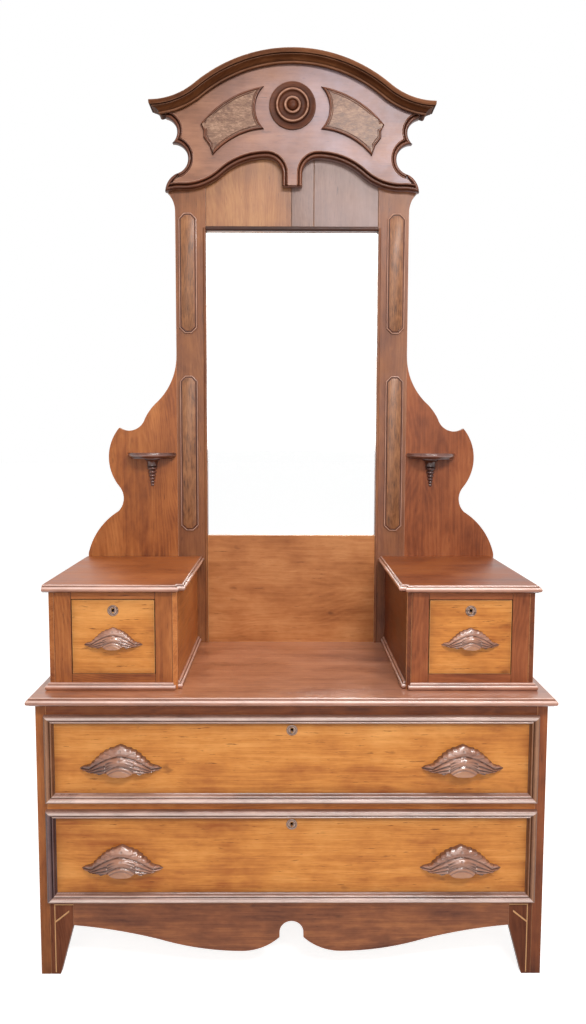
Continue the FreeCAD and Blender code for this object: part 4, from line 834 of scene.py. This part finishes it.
def turned_half(node, profile, top, steps, grain_up=False):
    """The front half of a turning that hangs below a height, on both sides of the mirror."""
    def place(a, b, drop):
        return at(shelf_x + a, CASE_DEPTH + b, top - drop)

    shape = Shape()
    lathe(shape, profile, place, 180, 180, steps, grain_up)
    shape.mirror()
    publish(shape.mesh(), node, "turned", SHELF_WOOD)


turned_half("candle_shelves", rounded([
    (0, 0, 0, "line"), (59.5, 0, 0, "line"), (61.6, 0.6, 0), (63, 3.4, 0), (62.9, 7, -0.4), (61.4, 9.8, 0.1),
    (59.6, 10.8, 0.9, "line"), (57.6, 11, 0.4), (55.6, 12.4, 0.2), (54.6, 15, 0.5, "line"), (0, 15, 0.3)]),
    high.z, 40)
drop = [(0, 0, 0.5, "line"), (20.5, 0, 0.5, "line"), (20.5, 3, 0.4), (18.4, 5.2, 0.6), (15.2, 8, 0.4),
        (13.6, 13, 0.2), (13.2, 18, 0.3), (14.2, 21.4, 0.9, "line")]
for reach, foot in ((13, 22), (10.8, 31.6), (9, 40.6), (7.4, 49), (5.8, 57), (4.4, 64.6)):
    drop += [(reach * 0.72, foot, 1), (reach * 0.95, foot + 1.8, 0.2), (reach, foot + 3.8, 0),
             (reach * 0.93, foot + 6, 0.2), (reach * 0.66, foot + 7.2, 1, "line")]
turned_half("shelf_drops", rounded(drop + [(0, 71.9, 0.4)], 3), high.z - SHELF_HEIGHT, 28, grain_up=True)

# ---------- crest
END_RISE = 192.0
TIP_X, END_X, FOOT_X = 319.0, 316.0, 25.0
ARCH_HALF, ARCH_RISE, CROWN_RADIUS = 352.0, 123.0, 385.0
ARCH_END = CREST_FOOT + END_RISE
BOSS_RADIUS, BOSS_Z = 58.0, CREST_FOOT + 190.0
PANEL_GAP, PANEL_END_GAP = 13.0, 88.0

half_arch = [(29,), (40, -90), (170, -41), (147, 43), (110, -22)]
span = tangent_path((0, 0), 90, half_arch)[-1][0]
half_arch = [(size * (TIP_X - FOOT_X) / span, *bend) for size, *bend in half_arch]
scrolls = [tangent_path((FOOT_X, CREST_FOOT), 90, half_arch)]
for stops in (((0.052, 0.083), (-0.036, 0.151)), ((-0.188, 0.349), (0.016, 0.536)),
              ((-0.047, 0.703), (19 / END_RISE, 1 - 28 / END_RISE))):
    start = scrolls[-1][-1]
    middle, end = [(STILE_X[1] + a * END_RISE, CREST_FOOT + b * END_RISE) for a, b in stops]
    scrolls.append([start] + arc(start, middle, end, 26))
band = rounded([
    (0, 0, 0.7, "line"), (0, 4.4, 0.3), (0.9, 7.4, 0.1), (3, 9.6, -0.2), (5.4, 10, -0.3), (7.6, 9, 0.2),
    (8.8, 7.6, 1, "line"), (9.6, 9.4, 0.9, "line"), (10, 12.4, 0.3), (11.2, 14.8, -0.2), (12.6, 15.2, -0.5),
    (13.7, 14.4, -0.1), (14.2, 13.6, 0.8, "line"), (14.2, 0, 0.5)], 3)
cuts = [mitre_line(before, after) for before, after in zip(scrolls, scrolls[1:])]
shape = Shape()
for i, path in enumerate(scrolls):
    sweep(shape, path, band, facing(CREST_BACKING_Y), cuts[max(i - 1, 0):i + 1])
shape.mirror()
publish(shape.mesh(), "crest_edge_moulding", "run", MOULDING_WOOD)

both_radii = (ARCH_HALF ** 2 + ARCH_RISE ** 2) / (2 * ARCH_RISE)
turn = math.degrees(math.asin(ARCH_HALF / both_radii))
arch = tangent_path((0, ARCH_END + ARCH_RISE), 0, [(CROWN_RADIUS, -turn), (both_radii - CROWN_RADIUS, turn)], 6)
cornice = rounded([
    (0, 0, 0.3, "line"), (0, 34, -0.2, "line"), (-0.8, 35.6, -0.6), (-2.6, 36, -0.1), (-8.4, 35.6, 0),
    (-10.4, 34.6, -0.3), (-11.2, 32.6, 1, "line"), (-11.6, 29.8, 1, "line"), (-13, 29.6, -0.4), (-14, 25, 0.1),
    (-16.4, 19.4, 0.2), (-20, 15.4, 0.4), (-23, 13.4, 1, "line"), (-23.8, 14.2, 0.3), (-25.4, 14, -0.4),
    (-27.2, 12, -0.2), (-27.9, 9, 0.1), (-27.2, 6, 0.6, "line"), (-25.4, 0, 0.9)], 3)
shape = Shape()
# The arch stops at the mitre, where the level return to the back begins.
sweep(shape, arch, cornice, lambda a, b, out: at(min(a, END_X + out), CREST_FACE_Y - out, b))
front = [(side, out, shading_dust_and_bareness, CREST_FACE_Y - out) for side, out, shading_dust_and_bareness in cornice]
back = [(side, out, shading_dust_and_bareness, CASE_DEPTH) for side, out, shading_dust_and_bareness in cornice]
shape.loft([[(at(END_X + out, y, ARCH_END + side), (y, side, out), shading_dust_and_bareness) for side, out, shading_dust_and_bareness, y in ring]
            for ring in (front, back)])
shape.mirror()
publish(shape.mesh(), "crest_cornice", "run", CORNICE_WOOD)

panel_inner = BOSS_RADIUS + PANEL_GAP
panel_width = END_X - PANEL_END_GAP - panel_inner


def panel_point(share, rise):
    return panel_inner + share * panel_width, CREST_FOOT + rise * END_RISE


# A panel's sides, as stops that are reached straight, or by an arc past a first point.
panel_sides, corner = [], panel_point(0, 1.224)
for stops in ([(0.535, 1.072, 1, 0.752)], [(0.952, 0.674), (0.955, 0.591), (0.86, 0.487), (0.809, 0.366)],
              [(0.446, 0.596, 0, 0.698)], [(0.134, 0.966, 0, 1.224)]):
    run = [corner]
    for stop in stops:
        end = panel_point(*stop[-2:])
        run += [end] if len(stop) == 2 else arc(run[-1], panel_point(*stop[:2]), end, 18)
    panel_sides.insert(0, run[::-1])
    corner = run[-1]
border = rounded([
    (0, 0, 1, "line"), (0, 4.6, 0.3), (1, 6.9, 0), (2.8, 7.9, -0.4), (4.8, 7.2, -0.1), (6, 5, 1, "line"),
    (6.8, 5.2, 1), (7.4, 6.6, 0.2), (8.4, 7, -0.4), (9.2, 6.2, 0.8, "line"), (9.4, 5, 1, "line"),
    (9.4, 0, 1)], 3)
cuts = [mitre_line(panel_sides[i - 1], side) for i, side in enumerate(panel_sides)]
shape = Shape()
for side, here, after in zip(panel_sides, cuts, cuts[1:] + cuts[:1]):
    sweep(shape, side, border, facing(CREST_FACE_Y), (here, after))
field = [point for side in panel_sides for point in side[:-1]]
stack(shape, field, [(3, 0, 0), (3, 5.8, 0.6)], facing(CREST_FACE_Y), slot=1)
shape.mirror()
publish(shape.mesh(), "crest_carvings", "", MOULDING_WOOD, PANEL_FIELD, name="crest_panels_carved")

boss = rounded([
    (0, 14, 0), (4, 13.7, 0), (8.4, 12.4, 0), (11.4, 9.6, 0.2), (12.6, 7.4, 1, "line"), (14, 8.6, 0.1),
    (16.4, 10.4, -0.6), (18.6, 10.8, -0.9), (20.6, 9.4, -0.2), (22, 6.6, 0.8, "line"), (25, 5.2, 0.3),
    (30, 5.2, 0.2), (33.6, 6.4, 0.5), (35.4, 8.6, 0), (38, 10.2, -0.9), (40.2, 9.4, -0.5), (42.4, 6.4, 0.5),
    (43.4, 4, 1, "line"), (47, 3.6, 0.2), (52, 4.2, 0), (55.6, 4.6, 0), (57.4, 3.8, -0.3),
    (BOSS_RADIUS, 2.2, 0.3), (BOSS_RADIUS, 0, 0.9)])
shape = Shape()
lathe(shape, boss, lambda a, b, out: at(a, CREST_FACE_Y - out, BOSS_Z + b), steps=96)
publish(shape.mesh(), "crest_carvings", "", BOSS_WOOD, name="crest_boss_turned")

# ---------- pulls
LEAF_HEIGHT, LEAF_WIDTH, LEAF_REACH = 65.0, 176.0, 87.6
LEAF_TOP = [(0, 65), (9, 61.5), (15, 58), (23, 57.5), (26, 53.5), (34, 52), (36, 47.5), (44, 44), (45, 39.5),
            (53, 36), (54, 31), (61, 27.5), (63, 22.5), (72, 19.5), (80, 17.5), (88, 12)]
LEAF_FOOT = [(0, 0), (14, 0.8), (22, 3), (28, 7.5), (32, 8.2), (38, 5), (44, 3.4), (50, 5.5), (56, 7.2),
             (62, 5.6), (70, 7.5), (78, 9), (88, 12)]
TONGUE_REACH = 30.0
VEIN_SPACING, VEIN_SLANT = 17.0, 1.5
PLUG_HEIGHTS, PLUG_RADIUS = (53.0, 35.0), 1.6


def along(points, u):
    """Height of a line through points at a distance from the leaf's middle."""
    for (u0, v0), (u1, v1) in zip(points, points[1:]):
        if u <= u1:
            return v0 + (v1 - v0) * ((u - u0) / (u1 - u0))
    return points[-1][1]


def bell(value, width):
    return math.exp(-(value / width) ** 2)


def leaf_relief(u, v, t):
    """How far the carved leaf stands forward, how dark its grooves are painted (painted shade with some dust)
    and how bare it is, at a point. u is across, v up, and t runs from the lower edge to the upper one."""
    a = abs(u)
    hood = 25.5 * (1 - (a / 93) ** 2.1) * (1 - 0.56 * max(v, 0) / 65 * (0.4 + 0.6 * v / 65))
    rib = 12.5 + 29.5 * (1 - min(1.0, a / 66) ** 1.7)
    tongue = 9.5 + 12.5 * (1 - (a / TONGUE_REACH) ** 2)
    gap = v - rib
    # Grooves, the rib line, pin marks and the upper rim are painted dark: painted shade with some dust.
    relief, shading_dust_and_bareness, bare = -2.0 * bell(gap, 1.4), bell(gap, 1.5), 0.0
    if gap > 0:
        slant = (a - VEIN_SLANT * gap - 9) * math.tau / VEIN_SPACING
        vein = max(0.0, math.cos(slant)) ** 12 * min(1.0, gap / 3) * min(1.0, a / 26) ** 2
        relief += 1.6 * math.sin(min(1.0, gap / 8) * math.pi / 2) - 1.1 * vein - 3 * max(0.0, t - 0.9)
        shading_dust_and_bareness += 0.95 * vein + 0.5 * max(0.0, t - 0.94) / 0.06
    elif a < TONGUE_REACH and v < tongue:
        inner = bell(tongue - v - 6.5 - 0.06 * a, 1.5)
        relief += 2.6 * (1 - a / 28) - 1.6 * bell(v - tongue, 2) - inner
        shading_dust_and_bareness += bell(v - tongue, 2) + 0.8 * inner
        bare = min(0.9, (tongue - v) / 5) * (1 - inner)
    else:
        floor = max(tongue, 0.0) if a < TONGUE_REACH else 0.0
        share = (v - floor) / max(rib - floor, 4.0)
        relief += (3.2 + 1.2 * bell(a, 20)) * math.sin(math.pi * min(max(share, 0.0), 1.0))
        side = min(1.0, max(0.0, (a - 8) / 16))
        for line in (0.2, 0.43, 0.68):
            relief -= 2.9 * side * bell(share - line, 0.06)
            shading_dust_and_bareness += 1.2 * side * bell(share - line, 0.06)
        if a < TONGUE_REACH:
            relief -= 1.6 * bell(v - tongue, 1.8)
            shading_dust_and_bareness += bell(v - tongue, 1.7)
        bare = 0.25 * (1 - side)
    plug = max(bell(math.hypot(u, v - height) - PLUG_RADIUS, 1.1) for height in PLUG_HEIGHTS)
    out = (hood + relief - 0.4 * plug) * (1 - 0.22 * t ** 12)
    return min(max(out, 2.4), 26.0), min(1.0, shading_dust_and_bareness + 0.7 * plug), bare


def leaf(shape, centre_x, bottom, plane, scale, columns=132, rows=36):
    """The carved face, a thin rim, a hollow underneath and a flat back."""
    rings = []
    for i in range(columns + 1):
        u = -LEAF_REACH + 2 * LEAF_REACH * i / columns
        foot, peak = along(LEAF_FOOT, abs(u)), along(LEAF_TOP, abs(u))
        ring = []
        for t in [k / rows for k in range(rows + 1)]:
            v = foot + (peak - foot) * t
            out, shading_dust_and_bareness, bare = leaf_relief(u, v, t)
            ring.append((out, v, shading_dust_and_bareness - bare * (1 - shading_dust_and_bareness)))
        lip = ring[0][0]
        depth = max(0.0, 1 - (u / 46) ** 2) ** 0.5 * min(9.0, (peak - foot) * 0.5)
        # The hollow underneath is painted dark: painted shade.
        ring += [(0, peak, 0.8), (0, foot + depth * 0.6, 1), (lip * 0.3, foot + depth, 1),
                 (lip * 0.72, foot + depth * 0.9, 0.9), (lip - 2.2, foot + 0.6, 0.5)]
        rings.append([(at(centre_x + u * scale, plane - out * scale, bottom + v * scale),
                       Vector((u, v, out)) * scale, shading_dust_and_bareness) for out, v, shading_dust_and_bareness in ring])
    shape.loft(rings)


for drawer in DRAWERS:
    long = "long" in drawer
    node = drawer + ("_pulls" if long else "_pull")
    low, high = limits(node)
    scale = (high.z - low.z) / LEAF_HEIGHT
    half = scale * LEAF_WIDTH / 2
    shape = Shape()
    for x in (low.x + half, high.x - half)[:2 if long else 1]:
        leaf(shape, x, low.z, 0 if long else DECK_DRAWER_Y, scale)
    publish(shape.mesh(), node, "carved", PULL_WOOD, angle=60)

# ---------- keyhole plates
HOLE_RADIUS, HOLE_RISE, SLOT_HALF, SLOT_FOOT = 3.4, 2.6, 1.7, -6.0
KEYHOLE_DEPTH, PLATE_STEPS = 8.0, 96
keyhole = [(-SLOT_HALF, SLOT_FOOT), (SLOT_HALF, SLOT_FOOT)]
keyhole[1:1] = [(HOLE_RADIUS * math.sin(math.radians(t)), HOLE_RISE + HOLE_RADIUS * math.cos(math.radians(t)))
                for t in range(-150, 151, 15)]


def keyhole_reach(angle):
    """Distance from the plate's middle to the keyhole's edge in a direction."""
    dx, dy = math.cos(angle), math.sin(angle)
    best = 1.6
    for (ax, ay), (bx, by) in zip(keyhole, keyhole[1:] + keyhole[:1]):
        ex, ey = bx - ax, by - ay
        slant = dx * ey - dy * ex
        if abs(slant) > 1e-9 and -1e-6 <= (ax * dy - ay * dx) / slant <= 1 + 1e-6:
            best = max(best, (ax * ey - ay * ex) / slant)
    return best


# The plate's rim and quirk are tarnished; round the keyhole it is painted dark, painted shade that makes the
# hole look larger, and the pocket behind is the near-black lock shadow wood, painted shade.
plate = rounded([
    (12, 0, 1, "line"), (12, 0.8, 0.7), (11.3, 1.4, 0.4), (10.4, 1.5, 0.3), (9.4, 1.3, 0.5),
    (8.8, 0.6, 1, "line"), (8, 0.7, 0.7), (7, 1, 0.1), (5, 1.1, 0.6, "line"), (1, 1, 1)], 3)
for drawer in DRAWERS:
    node = drawer + "_escutcheon"
    low, high = limits(node)
    centre = (low + high) / 2
    rings = []
    for i in range(PLATE_STEPS):
        angle = 2 * math.pi * i / PLATE_STEPS
        hole = keyhole_reach(angle)
        ring = [(hole if r < 4 else max(r, hole + 0.5), out, shading_dust_and_bareness) for r, out, shading_dust_and_bareness in plate]
        ring += [(hole * 0.94, 0, 1), (hole * 0.94, -KEYHOLE_DEPTH, 1), (0, -KEYHOLE_DEPTH, 1),
                 (0, -KEYHOLE_DEPTH - 0.4, 1), (hole * 0.97, -KEYHOLE_DEPTH - 0.4, 1), (hole * 0.97, -0.1, 1),
                 (hole + 0.2, 0, 1)]
        rings.append([(at(centre.x + r * math.cos(angle), high.y - out, centre.z + r * math.sin(angle)),
                       (r, out, 0), shading_dust_and_bareness) for r, out, shading_dust_and_bareness in ring])
    shape = Shape()
    shape.loft(rings, closed_path=True)
    mesh = shape.mesh()
    for polygon in mesh.polygons:
        polygon.material_index = int(polygon.center.y > at(0, high.y + 0.05, 0).y)
    publish(mesh, node, "plate", BRASS, LOCK_DARK)

# ---------- nodes that stay
for name, node in frame["nodes"].items():
    material = MIRROR if name == "mirror_glass" else IRON if name.endswith(("_lock", "_bolt")) else None
    if material:
        node.data.materials.clear()
        node.data.materials.append(material)

# ---------- camera, fitted to the photograph
YAW, PITCH, ROLL = -0.0071, 0.093, 0.0027
CAMERA_PLACE = (-0.0119, -2.0249, 1.1859)
LENS, SENSOR = 30.456, 36.0
camera = shown("camera", bpy.data.cameras.new("camera"))
camera.matrix_world = (Matrix.Translation(CAMERA_PLACE) @ Matrix.Rotation(YAW, 4, "Z")
                       @ Matrix.Rotation(math.pi / 2 - PITCH, 4, "X") @ Matrix.Rotation(ROLL, 4, "Z"))
camera.data.sensor_width = SENSOR
camera.data.lens = LENS
bpy.context.scene.camera = camera


# ---------- light and floor
def lamp(name, place, aim, size, power, colour):
    data = bpy.data.lights.new(name, "AREA")
    data.shape = "RECTANGLE"
    data.size, data.size_y = size
    data.energy = power
    data.color = colour
    made = shown(name, data)
    made.location = place
    made.rotation_euler = (Vector(aim) - Vector(place)).to_track_quat("-Z", "Y").to_euler()


lamp("key", (0.75, -2.5, 2.8), (0, 0.1, 0.9), (1.4, 0.35), 64, (1, 0.99, 0.98))
lamp("broad", (-0.1, -3.8, 2.0), (0, 0, 0.8), (2.6, 2.0), 54, (1, 0.98, 0.95))
lamp("above", (0.2, -0.9, 4.0), (0, 0, 0.8), (2.0, 0.9), 48, (1, 1, 1))
lamp("behind", (0.0, 2.8, 4.1), (0, 0, 0.9), (4.4, 1.1), 66, (1, 0.99, 0.97))

# The room is white where it is seen, and dimmer as a light.
ROOM_LIGHT = 0.2
world = bpy.data.worlds.new("studio")
bpy.context.scene.world = world
world.use_nodes = True
room = Nodes(world.node_tree)
background = room.tree.nodes["Background"].inputs
seen = room.seen_by("Camera", "Glossy", "Transmission")
room.feed(background["Strength"], room.band(seen, 0, 1, ROOM_LIGHT, 1))
room.feed(background["Color"], (1, 1, 1, 1))

FLOOR_REACH, FLOOR_GLOW = 30, 0.84
corners = [(x * FLOOR_REACH, y * FLOOR_REACH, 0) for x, y in ((-1, -1), (1, -1), (1, 1), (-1, 1))]
floor_mesh = bpy.data.meshes.new("floor")
floor_mesh.from_pydata(corners, [], [(0, 1, 2, 3)])
floor = shown("floor", floor_mesh)
f = Finish("floor_paper")
tooth = f.band(f.noise(f.place(), scale=300))
floor_mesh.materials.append(f.surface({
    "Base Color": f.mix(tooth, (0.62, 0.62, 0.62, 1), (0.65, 0.65, 0.65, 1)), "Roughness": 0.9,
    "Specular IOR Level": 0.1, "Emission Strength": f.times(f.seen_by("Camera", "Glossy"), FLOOR_GLOW),
    "Emission Color": (1, 1, 1, 1)}))

bpy.context.scene.view_settings.view_transform = "Standard"
